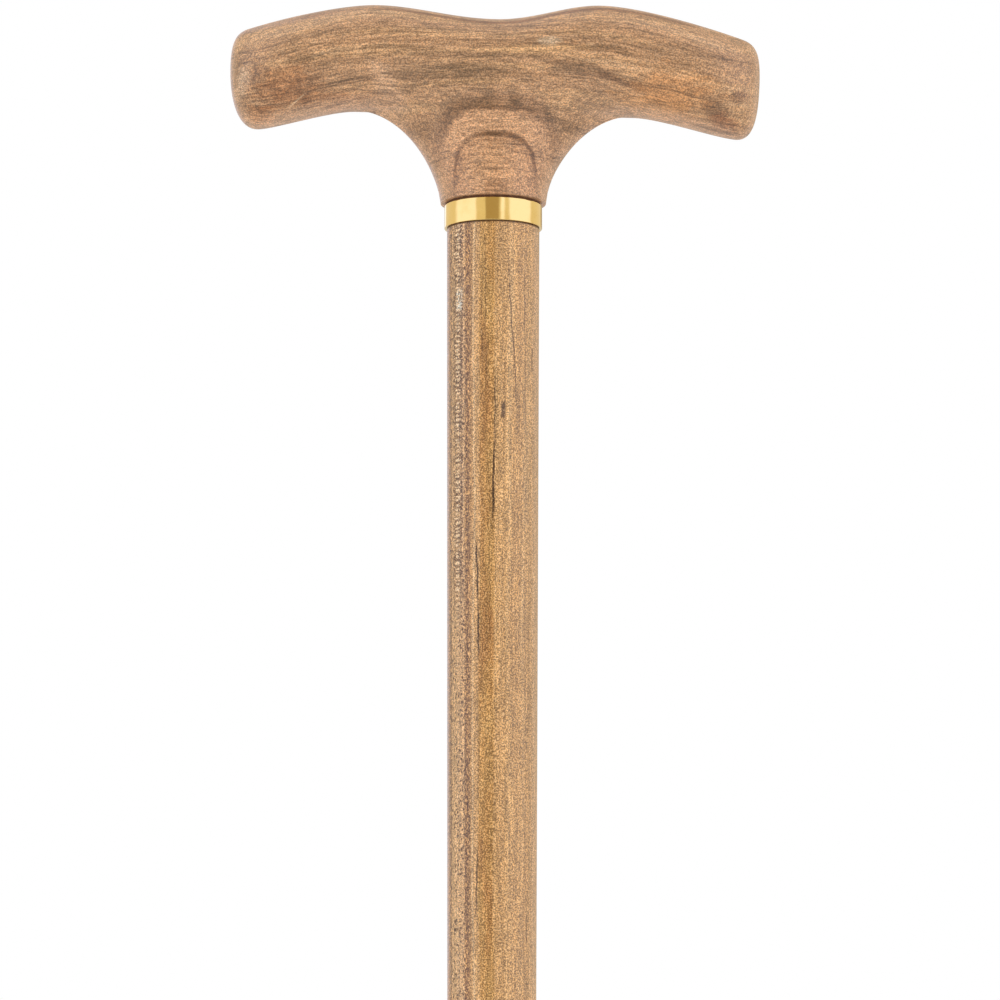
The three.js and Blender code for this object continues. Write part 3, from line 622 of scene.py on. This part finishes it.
def make_cork():
    p = Paint("cork")
    grain = p.cells(p.place, scale=1.1)
    tone = p.ramp(grain, [(0.0, (120, 84, 52)), (0.35, (186, 142, 96)), (1.0, (208, 168, 120))])
    pit = p.noise(p.place, scale=1.4, detail=3, rough=0.7)
    tone = p.mix(p.span(pit, 0.6, 0.7), tone, (92, 60, 38))
    p.bump(p.math("ADD", grain, pit), 0.15, 0.5)
    return p.set(base=tone, rough=0.85)


def make_glass():
    p = Paint("glass")
    wave = p.noise(p.stretch(0.12, 0.12, 0.03))
    p.bump(wave, 0.08, 0.3)
    return p.set(base=srgb(248, 253, 251), rough=p.span(wave, 0.3, 0.7, 0.01, 0.04), clear=1.0, ior=1.5)


WALNUT = make_walnut()
MAPLE = make_maple()
BRASS = make_metal("brass_polished", (238, 203, 130), (228, 188, 110), 0.05, 0.08, 0.15, wave=7.0)
BRASS_TURNED = make_metal("brass_turned", (218, 180, 104), (184, 142, 76), 0.24, 0.2, 1.0)
BRASS_DRAWN = make_metal("brass_drawn", (206, 168, 98), (170, 130, 72), 0.3, 0.4, 0.6)
PLATE = make_metal("plated_steel", (216, 216, 214), (206, 206, 204), 0.1, 0.15, 0.3)
STEEL = make_metal("steel_wire", (170, 172, 174), (130, 130, 132), 0.3, 0.5, 0.3)
ZINC = make_metal("zinc_plate", (176, 178, 182), (140, 142, 146), 0.36, 0.8, 0.5)
RUBBER = make_plain("rubber_matt", (28, 28, 30), (20, 20, 21), 0.72, 2.5, 0.06)
RING_RUBBER = make_plain("rubber_smooth", (24, 24, 25), (17, 17, 18), 0.5, 4.0, 0.02)
FIBRE = make_plain("fibre_board", (122, 82, 54), (92, 60, 38), 0.8, 3.0, 0.05)
FELT = make_plain("felt", (110, 34, 38), (78, 22, 26), 0.95, 3.5, 0.25, sheen=0.4)
CORK = make_cork()
GLASS = make_glass()


# The handle

# Outline and depth of the grip, in millimetres, with heights from the underside of its neck; crests,
# shoulder and toes are (x, z)
GRIP_HALF, SADDLE, NECK = 64.1, 45.3, 12.7
LEFT_CREST, RIGHT_CREST = (28.8, 48.2), (25.3, 49.3)
SHOULDER, SHOULDER_SLOPE, NOSE_Z = (59.8, 41.8), 0.31, 32.4
LEFT_TOE, RIGHT_TOE = (57.3, 17.4), (59.0, 17.4)
ARCH_X, ARCH_Z = 33.8, 22.4
NECK_FLARE = 0.083
DEPTH, END_DEPTH, WAIST, WAIST_Z = 27.0, 24.4, 0.6, 12.0
SECTION_POWER, END_ROUNDING, END_POWER = 2.1, 17.0, 2.3
NECK_BLEND, FLARE_POWER = 9.0, 1.1
# The grip leans over in degrees, from the neck up to LEAN_TOP, about a point LEAN_PIVOT above its underside
LEAN, LEAN_TOP, LEAN_PIVOT = 1.2, 12, 15
# The brass insert that is fixed in the neck
FLANGE_RADIUS, FLANGE_DEPTH, SHANK_RADIUS, SHANK_LENGTH = 10.4, 2.0, 6.5, 20.0


def bend(start, way, end, way_end, lead, trail):
    """90 points of a cubic curve that leaves and arrives along given directions."""
    start, end = np.array(start, float), np.array(end, float)
    chord = np.linalg.norm(end - start)
    way, way_end = np.array(way, float), np.array(way_end, float)
    a = start + way / np.linalg.norm(way) * chord * lead
    b = end - way_end / np.linalg.norm(way_end) * chord * trail
    t = np.linspace(0, 1, 90)[:, None]
    return (1 - t) ** 3 * start + 3 * (1 - t) ** 2 * t * a + 3 * (1 - t) * t ** 2 * b + t ** 3 * end


def grip_outline(crest, toe):
    """Curves of half the grip: top and bottom by rising x, and the neck's flare by rising z."""
    nose, arch, neck = (GRIP_HALF, NOSE_Z), (ARCH_X, ARCH_Z), (NECK, 0)
    fall = (1, -SHOULDER_SLOPE)
    top = np.vstack([bend((0, SADDLE), (1, 0), crest, (1, 0), 0.37, 0.33),
                     bend(crest, (1, 0), SHOULDER, fall, 0.24, 0.36),
                     bend(SHOULDER, fall, nose, (0, -1), 0.34, 0.57)])
    flare = bend(arch, (-1, 0), neck, (-NECK_FLARE, -1), 0.37, 0.3)
    bottom = np.vstack([bend(nose, (0, -1), toe, (-1, 0), 0.53, 0.27),
                        bend(toe, (-1, 0), arch, (-1, 0), 0.14, 0.255), flare])
    return top, bottom[::-1], flare[::-1]


def smooth(value, low, high):
    t = np.clip((value - low) / (high - low), 0, 1)
    return t * t * (3 - 2 * t)


def grip_half(crest, toe, places, lower, upper):
    """Sections of half the handle: for each place, [half depth, height] up one side."""
    top, bottom, flare = grip_outline(crest, toe)
    swell_top = (ARCH_Z + SADDLE) / 2

    def half_depth(x, z, under, high):
        middle = (DEPTH + (END_DEPTH - DEPTH) * (x / GRIP_HALF) ** 2) / 2
        past = min(max(x - (GRIP_HALF - END_ROUNDING), 0) / END_ROUNDING, 1)
        beam_depth = middle * max(1 - past ** END_POWER, 0) ** (1 / END_POWER)
        half = max((high - under) / 2, 1e-6)
        off = np.minimum(np.abs(z - (high + under) / 2) / half, 1)
        beam = beam_depth * (1 - off ** SECTION_POWER) ** (1 / SECTION_POWER)
        reach = np.interp(np.minimum(z, ARCH_Z), flare[:, 1], flare[:, 0])
        waist = NECK - WAIST
        drawn = NECK + (waist - NECK) * smooth(z, 0, WAIST_Z)
        depth = drawn + (DEPTH / 2 - waist) * smooth(z, WAIST_Z, swell_top)
        # the neck is round at the collar and thins out at its sides where it spreads under the arms
        power = 0.5 + (FLARE_POWER - 0.5) * smooth(reach, NECK, ARCH_X)
        neck = depth * np.maximum(1 - (x / reach) ** 2, 0) ** power
        width = NECK_BLEND * (1 - smooth(z, ARCH_Z, swell_top))
        width = np.maximum(np.minimum(np.minimum(width, beam), neck), 1e-6)
        over = np.maximum(width - np.abs(beam - neck), 0) / width
        blended = np.maximum(beam, neck) + over ** 2 * width / 4
        return np.where(z >= swell_top, beam, blended)

    def climb(x, start, end, under, high, count):
        """Points evenly spaced up the side of a section, between two heights."""
        z = start + (end - start) * (1 - np.cos(np.linspace(0, math.pi, 200))) / 2
        depth = half_depth(x, z, under, high)
        run = np.concatenate([[0], np.cumsum(np.hypot(np.diff(depth), np.diff(z)))])
        at = np.linspace(0, run[-1], count + 1)
        return np.column_stack([np.interp(at, run, depth), np.interp(at, run, z)])

    sections = []
    for x in places:
        high = np.interp(x, top[:, 0], top[:, 1])
        low = 0.0 if x <= NECK else np.interp(x, bottom[:, 0], bottom[:, 1])
        under = ARCH_Z if x < ARCH_X else low
        flank = under + (high - under) * 0.25
        side = np.vstack([climb(x, low, flank, under, high, lower),
                          climb(x, flank, high, under, high, upper)[1:]])
        side[-1, 0] = 0
        if x >= NECK:
            side[0, 0] = 0
        sections.append(side)
    return sections


def make_handle():
    """The grip in one skin, from section to section, with the stepped hole for the insert under its neck."""
    neck_columns, arm_columns, end_columns = 26, 48, 28
    half = [NECK * math.sin(math.pi / 2 * i / neck_columns) for i in range(neck_columns + 1)]
    start = GRIP_HALF - 0.7 * END_ROUNDING
    half += [NECK + (start - NECK) * (i / arm_columns) ** 1.15 for i in range(1, arm_columns + 1)]
    half += [start + (GRIP_HALF - start) * math.sin(math.pi / 2 * i / end_columns)
             for i in range(1, end_columns + 1)]
    left = grip_half(LEFT_CREST, LEFT_TOE, half, 24, 34)
    right = grip_half(RIGHT_CREST, RIGHT_TOE, half, 24, 34)
    places = [-x for x in half[:0:-1]] + half
    sections = left[:0:-1] + right
    base = ends("handle")[0]

    def leaning(x, y, z):
        angle = math.radians(LEAN) * smooth(z, 0, LEAN_TOP)
        above = z - LEAN_PIVOT
        return (x * math.cos(angle) + above * math.sin(angle), y,
                LEAN_PIVOT + above * math.cos(angle) - x * math.sin(angle) + base)

    bm = bmesh.new()
    grid = []
    for x, side in zip(places, sections):
        front = [bm.verts.new(leaning(x, -d, z)) for d, z in side]
        back = [bm.verts.new(leaning(x, d, z)) for d, z in side]
        grid.append((front, back))
    for (front, back), (next_front, next_back) in zip(grid, grid[1:]):
        for k in range(len(front) - 1):
            bm.faces.new((front[k], next_front[k], next_front[k + 1], front[k + 1]))
            bm.faces.new((back[k + 1], next_back[k + 1], next_back[k], back[k]))
    rim = [f[0] for (f, b), x in zip(grid, places) if abs(x) <= NECK + TINY]
    rim += [b[0] for (f, b), x in zip(grid, places) if abs(x) < NECK - TINY][::-1]
    ring = rim
    wide, ledge = FLANGE_RADIUS + GAP, base + FLANGE_DEPTH + GAP
    narrow, end = SHANK_RADIUS + GAP, base + SHANK_LENGTH + 2 * GAP
    for radius, height in [(12.4, base), (wide, base), (wide, ledge), (narrow, ledge), (narrow, end)]:
        inner = []
        for v in rim:
            away = math.hypot(v.co.x, v.co.y)
            inner.append(bm.verts.new((v.co.x / away * radius, v.co.y / away * radius, height)))
        for i in range(len(rim)):
            k = (i + 1) % len(rim)
            bm.faces.new((ring[i], ring[k], inner[k], inner[i]))
        ring = inner
    bm.faces.new(ring)
    finish_mesh("handle_walnut", bm, "handle", WALNUT, ["handle"], sharp=40)


make_handle()


# Turned pieces of the shaft

FOOT_RADIUS = 8.5
SHAFT_BORE, TENON = 8.05, 8.0
# The top of the shaft is turned down for the collar and bored out for the thread socket
COLLAR_SEAT, COUNTERBORE, COUNTERBORE_DEPTH = 10.6, 9.05, 14.05
SOCKET_CREST, SOCKET_ROOT, SOCKET_CHAMFER = 7.95, 8.5, 0.5
LINER_BORE = 7.5


def shaft_radius(z):
    """Radius of the tapered outside of the shaft at a height."""
    top = ends("shaft")[2]
    high, low = ends("collar")[0] - GAP, ends("shaft_lower")[0]
    return top + (FOOT_RADIUS - top) * (high - z) / (high - low)


def make_shaft():
    """The bored upper shaft, and the solid lower one with its tenon in the bore."""
    foot = ends("shaft")[0]
    shoulder = ends("collar")[0] - GAP
    profile = [(SHAFT_BORE, foot), (shaft_radius(foot), foot), (shaft_radius(shoulder), shoulder),
               (COLLAR_SEAT, shoulder), (COLLAR_SEAT, 0), (COUNTERBORE, 0), (COUNTERBORE, -COUNTERBORE_DEPTH),
               (SHAFT_BORE, -COUNTERBORE_DEPTH)]
    lathe("shaft_maple", profile, "shaft", MAPLE, ["shaft"], soft=0.05)
    low, high, _ = ends("shaft_lower")
    joint = foot - GAP
    chamfer = 0.6
    profile = [(0, low), (FOOT_RADIUS - chamfer, low), (FOOT_RADIUS, low + chamfer),
               (shaft_radius(joint), joint), (TENON, joint), (TENON, high), (0, high)]
    lathe("shaft_lower_maple", profile, "shaft", MAPLE, ["shaft_lower"], soft=0.05)


make_shaft()
make_ring("collar_band", "collar", COLLAR_SEAT + GAP, "shaft", BRASS, soft=0.22, sides=128)

socket_low, socket_high, socket_radius = ends("thread_socket")
lathe("socket_threaded", [*wall(SOCKET_CREST, -0.4, socket_low + SOCKET_CHAMFER), (8.3, socket_low),
                          (socket_radius, socket_low), (socket_radius, socket_high), (8.35, socket_high)],
      "shaft", BRASS_TURNED, ["thread_socket"], soft=0.05,
      shape=thread_shape(SOCKET_CREST, SOCKET_ROOT, socket_low + 0.6, -0.5))

make_ring("liner_tube", "bore_liner", LINER_BORE, "shaft", BRASS_DRAWN, soft=0.08)

plug_low, plug_high, plug_radius = ends("liner_plug")
plug_step, plug_neck = plug_high - 3, 5.4
lathe("plug_turned", [(0, plug_low), (plug_radius, plug_low), (plug_radius, plug_step),
                      (plug_neck, plug_step), (plug_neck, plug_high), (0, plug_high)],
      "shaft", BRASS_TURNED, ["liner_plug"], soft=0.3)


def make_spring():
    """The wire of the lift spring, which stretches between the plug and the follower."""
    low, high, _ = ends("lift_spring")
    turns, wire, mean = 9.0, 0.4, 6.2
    steps, around = 60, 12
    rings = []
    for i in range(int(turns * steps) + 1):
        t = i / (turns * steps)
        angle = 2 * math.pi * turns * t
        # the turns open out a little towards both ends
        rise = t + 0.045 * math.sin(2 * math.pi * t)
        height = low + wire + (high - low - 2 * wire) * rise
        middle = Vector((mean * math.cos(angle), mean * math.sin(angle), height))
        out = Vector((math.cos(angle), math.sin(angle), 0))
        rings.append([middle + out * wire * math.cos(a) + Vector((0, 0, 1)) * wire * math.sin(a)
                      for a in (2 * math.pi * k / around for k in range(around))])
    bm = sweep(rings, False)
    bm.verts.ensure_lookup_table()
    for ring in (range(around), range(len(bm.verts) - around, len(bm.verts))):
        bm.faces.new([bm.verts[k] for k in ring])
    spring = finish_mesh("spring_wire", bm, None, STEEL, ["lift_spring"])
    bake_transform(spring)


make_spring()


def make_tip():
    """The rubber ferrule: a ribbed sleeve that widens to a foot with two round grooves under it."""
    low, high, base = ends("rubber_tip")
    washer = ends("tip_washer")
    floor, foot = washer[0] - GAP, washer[1] + GAP
    sleeve, lip, bore, rib = 12.0, 12.6, FOOT_RADIUS + GAP, 0.35
    groove_top = low + 1.2
    profile = [(0, low + 0.5), (2.4, low + 0.5), (3.4, low)]
    for middle in (4.83, 9.67):
        profile += [(middle - 0.9, low), (middle - 0.7, groove_top), (middle + 0.7, groove_top),
                    (middle + 0.9, low)]
    profile += [(base - 0.8, low), (base, low + 0.8), (base, low + 3.5), (base - 0.25, low + 5.2),
                (base - 1.1, low + 7.2), (sleeve + rib, low + 9.4), (sleeve, low + 12)]
    for k in range(4):
        z = low + 15.5 + 4 * k
        profile += [(sleeve, z), (sleeve + rib, z + 0.5), (sleeve + rib, z + 1.5), (sleeve, z + 2)]
    profile += [(sleeve, high - 4), (lip, high - 3.2), (lip, high - 0.8), (lip - 0.8, high),
                (shaft_radius(high) + GAP, high), (bore, foot), (bore, floor), (0, floor)]
    lathe("tip_moulded", profile, "shaft", RUBBER, ["rubber_tip"], soft=0.25)


make_tip()
make_ring("tip_washer_disc", "tip_washer", 0, "shaft", ZINC, soft=0.15)


# Follower, vial, cap and cup

follower_low, follower_high, follower_radius = ends("follower_cup")
stem, cup_bottom = 5.4, follower_low + 2
cup_bore, cup_floor = 6.8, cup_bottom + 0.8
lathe("follower_turned", [(0, follower_low), (stem, follower_low), (stem, cup_bottom),
                          (follower_radius, cup_bottom), (follower_radius, follower_high),
                          (cup_bore, follower_high), (cup_bore, cup_floor), (0, cup_floor)],
      "follower", BRASS_TURNED, ["follower_cup"], soft=0.15)
make_ring("follower_felt", "follower_pad", 0, "follower", FELT, soft=0.5)


def arc(radius, height, size, start, end, steps):
    """Points of a profile on part of a circle about (radius, height), between two angles in degrees."""
    made = []
    for i in range(steps + 1):
        angle = math.radians(start + (end - start) * i / steps)
        made.append((radius + size * math.cos(angle), height + size * math.sin(angle)))
    return made


def make_vial():
    """The glass, with a round bottom, a necked top and a beaded lip, and its two rubber rings."""
    low, high, outer = ends("vial")
    shoulder, inner, bend_size = high - 18, outer - 0.9, 1
    neck, neck_bore, lip = 4.5, 3.6, 4.8
    ball = low + outer
    profile = [(0, low), *arc(0, ball, outer, -85, 0, 16),
               *arc(outer - bend_size, shoulder - bend_size, bend_size, 5, 85, 5),
               (neck, shoulder), (neck, high - 2), (lip, high - 1.5), (lip, high - 0.4), (neck, high),
               (neck_bore, high), (neck_bore, shoulder - 0.9),
               *arc(inner - bend_size, shoulder - 0.9 - bend_size, bend_size, 85, 5, 5),
               *arc(0, ball, inner, 0, -85, 16), (0, ball - inner)]
    lathe("vial_glass", profile, "vial", GLASS, ["vial"], soft=0.25)
    for node in ("vial_ring_upper", "vial_ring_lower"):
        bottom, top, radius = ends(node)
        size = (top - bottom) / 2
        lathe(node + "_rubber", arc(radius - size, bottom + size, size, -90, 255, 15), "vial", RING_RUBBER,
              [node], soft=0.001)


make_vial()


def make_cap():
    """The cap with its milled side and dimpled top, and the cork in it."""
    low, high, outer = ends("vial_cap")
    bore, ceiling = 4.9, high - 0.6
    dimple, dimple_floor = 1.2, high - 0.15
    flutes, flute_depth = 60, 0.16

    def milled(angle, radius, height):
        if radius > outer - 0.05 and low + 0.8 < height < high - 1.0:
            return radius - flute_depth * (0.5 - 0.5 * math.cos(flutes * angle))
        return radius
    profile = [(bore, low), (outer, low), (outer, low + 0.7), (outer, low + 0.9), (outer, high - 1.3),
               (outer, high - 1.1), (outer, high - 0.9), (outer, high), (dimple, high),
               (dimple - 0.3, dimple_floor), (0, dimple_floor), (0, ceiling), (bore, ceiling), (bore, low)]
    lathe("cap_milled", profile, "cap", BRASS, ["vial_cap"], sides=360, soft=0.12, shape=milled)
    make_ring("cap_cork", "cap_seal", 0, "cap", CORK, soft=0.1)


make_cap()


def make_cup():
    """The drinking cup, upside down: a grooved rim below and a shallow foot above."""
    low, high, outer = ends("drinking_cup")
    inner, waist = outer - 0.6, outer - 0.12
    floor, hollow = high - 0.8, high - 0.12
    profile = [(inner, low + 0.2), (inner + 0.1, low), (outer, low), (outer, low + 1.2), (waist, low + 1.4),
               (waist, low + 2.0), (outer, low + 2.2), (outer, high - 1), (outer - 0.3, high - 0.3),
               (outer - 1, high), (3.2, high), (3.0, hollow), (0, hollow), (0, floor),
               (inner - 0.8, floor), (inner - 0.2, high - 1.0), (inner, high - 1.6)]
    lathe("cup_spun", profile, "cup", PLATE, ["drinking_cup"], soft=0.12)


make_cup()


# Seal washer, and what is fixed in the handle

make_ring("seal_washer_fibre", "seal_washer", 8.1, "seal_washer", FIBRE, soft=0.1)


def make_insert():
    """The insert: a threaded spigot below its flange, and a barbed shank above, with room for the pad."""
    low, high, flange = ends("handle_insert")
    base = high - SHANK_LENGTH
    barb_root, barb_count = 6.05, 6
    pitch = (SHANK_LENGTH - FLANGE_DEPTH) / barb_count
    barbs = []
    for i in range(barb_count):
        z = base + FLANGE_DEPTH + pitch * i
        barbs += [(SHANK_RADIUS, z + 0.3), (barb_root, z + pitch - 0.1)]
    crest, root = 7.8, 7.22
    thread_low, thread_high = low + 0.7, base - 1.4
    screw_hole, screw_head, pad_hole, pad_ceiling = 2.2, 4.0, 5.55, low + 2.0
    profile = [(pad_hole, low), (7.2, low), (crest, low + 0.6), *wall(crest, thread_low, thread_high),
               (7.3, base - 1.3), (7.3, base), (flange, base), (flange, base + FLANGE_DEPTH), *barbs,
               (screw_hole, high), (screw_hole, low + 4.0), (screw_head, pad_ceiling),
               (pad_hole, pad_ceiling)]
    lathe("insert_turned", profile, "handle", BRASS_TURNED, ["handle_insert"], soft=0.06,
          shape=thread_shape(crest, root, thread_low, thread_high))


make_insert()


def make_screw():
    """The countersunk wood screw, head down and point up."""
    low, high, head = ends("insert_screw")
    shank, plain_length, point_length, point_steps = 2.0, 8, 5, 20
    pitch, thread_depth, fade = 1.6, 0.28, 2
    # a hexagon socket in the head, by the radius of its corners
    socket, socket_depth = 1.75, 1.4
    point = high - point_length
    profile = [(0, low + socket_depth), (socket, low + socket_depth), (socket, low),
               (head - 0.1, low), (head, low + 0.15), (shank, low + 2.2)]
    profile += wall(shank, low + 2.4, point)
    profile += [(0.05 + (shank - 0.05) * (1 - k / point_steps), point + point_length * k / point_steps)
                for k in range(1, point_steps)]
    profile += [(0, high)]

    def cut(angle, radius, height):
        if radius < socket + 0.05 and height < low + socket_depth + 0.05:
            return radius * math.cos(math.pi / 6) / math.cos(angle % (math.pi / 3) - math.pi / 6)
        above = height - low - plain_length
        if above < 0:
            return radius
        return radius * (1 - thread_depth * groove(angle, height, pitch, 1.6, 0.1) * min(above / fade, 1))
    lathe("screw_threaded", profile, "handle", ZINC, ["insert_screw"], sides=48, soft=0.02,
          shape=cut)


make_screw()
make_ring("spigot_pad_rubber", "spigot_pad", 0, "handle", RING_RUBBER, soft=0.3)


# Camera, lights and floor

# The camera of the photograph: place in metres, angles in degrees, lens and sensor in millimetres
CAMERA_PLACE, PITCH, ROLL = (0.00175, -1.9, -0.4428), 9.7067, 0.1
LENS, SENSOR = 289.14, 36
# Even light of the room, and what polished metal sees round it: linear colours by compass bearing, in
# degrees from the front
ROOM_LIGHT = 0.74
WINDOW, WALL, DARK, BEHIND = (1.3, 1.39, 1.75), (0.92, 0.88, 0.74), (0.5, 0.41, 0.25), (0.66, 0.64, 0.6)
ROOM = [(-180, BEHIND), (-166, BEHIND), (-161, WINDOW), (-152, WINDOW), (-147, WALL), (-134, WALL),
        (-103, WALL), (-92, WINDOW), (-44, WINDOW), (-39, WALL), (-20, WALL), (-17, DARK), (12, DARK),
        (17, WALL), (20, WINDOW), (25, WINDOW), (29, WALL), (36, WALL), (41, WINDOW), (96, WINDOW),
        (104, WALL), (148, WALL), (154, DARK), (163, DARK), (168, BEHIND), (180, BEHIND)]


def make_camera():
    camera = link(bpy.data.objects.new("camera", bpy.data.cameras.new("camera")))
    camera.data.lens = LENS
    camera.data.sensor_width = SENSOR
    camera.data.clip_start, camera.data.clip_end = 0.05, 50
    turn = Matrix.Rotation(math.radians(90 + PITCH), 4, "X") @ Matrix.Rotation(math.radians(ROLL), 4, "Z")
    camera.matrix_world = Matrix.Translation(CAMERA_PLACE) @ turn
    bpy.context.scene.camera = camera


def make_lamp(name, place, width, height, power):
    """A soft box that is turned to the top of the shaft and isn't seen itself."""
    aim = Vector((0, 0, -0.1))
    data = bpy.data.lights.new(name, "AREA")
    data.shape = "RECTANGLE"
    data.size, data.size_y, data.energy = width, height, power
    lamp = link(bpy.data.objects.new(name, data))
    lamp.location = place
    lamp.rotation_mode = "QUATERNION"
    lamp.rotation_quaternion = (aim - Vector(place)).to_track_quat("-Z", "Y")
    lamp.visible_camera = False
    lamp.visible_glossy = False


def make_world():
    """Even light for every surface, the room for gloss, and plain white for the camera and through glass."""
    world = bpy.data.worlds.new("studio")
    bpy.context.scene.world = world
    world.use_nodes = True
    tree = world.node_tree
    tree.nodes.clear()

    def add(kind, *entries, **settings):
        return add_node(tree, kind, *entries, **settings)
    white = (1, 1, 1, 1)
    ray = add("LightPath")
    x, y, _ = add("SeparateXYZ", add("TexCoord")["Generated"])
    bearing = add("Math", x, add("Math", y, -1, operation="MULTIPLY")[0], operation="ARCTAN2")[0]
    degrees = add("Math", bearing, 180 / math.pi, operation="MULTIPLY")[0]
    room = add("ValToRGB", add("MapRange", degrees, -180, 180)[0])[0]
    set_stops(room, [((at + 180) / 360, (*colour, 1)) for at, colour in ROOM])
    plain = add("Background", white, ROOM_LIGHT)[0]
    shiny = add("Background", room, 1.0)[0]
    seen = add("Background", white, 1.0)[0]
    lit = add("MixShader", ray["Is Glossy Ray"], plain, shiny)[0]
    clear = add("Math", ray["Is Camera Ray"], ray["Is Transmission Ray"], operation="MAXIMUM")[0]
    add("OutputWorld", add("MixShader", clear, lit, seen)[0])


def make_floor():
    bm = bmesh.new()
    bmesh.ops.create_grid(bm, x_segments=1, y_segments=1, size=6)
    mesh = bpy.data.meshes.new("floor")
    bm.to_mesh(mesh)
    bm.free()
    floor = link(bpy.data.objects.new("floor", mesh))
    # a hair below the tip, so that the two don't fight
    floor.location.z = cad_low.z - 0.0002
    material = bpy.data.materials.new("floor")
    material.use_nodes = True
    shader = material.node_tree.nodes["Principled BSDF"]
    shader.inputs["Base Color"].default_value = (0.97, 0.97, 0.97, 1)
    shader.inputs["Roughness"].default_value = 0.9
    shader.inputs["Specular IOR Level"].default_value = 0.1
    mesh.materials.append(material)


make_camera()
make_world()
make_floor()
make_lamp("key_left", (-1.5, -1.6, 0.7), 1.4, 1.6, 10)
make_lamp("fill_right", (1.6, -1.4, 0.3), 1.4, 1.6, 8)
make_lamp("top", (0, 0.1, 1.6), 1.6, 1.6, 4)
bpy.context.scene.view_settings.view_transform = "Standard"
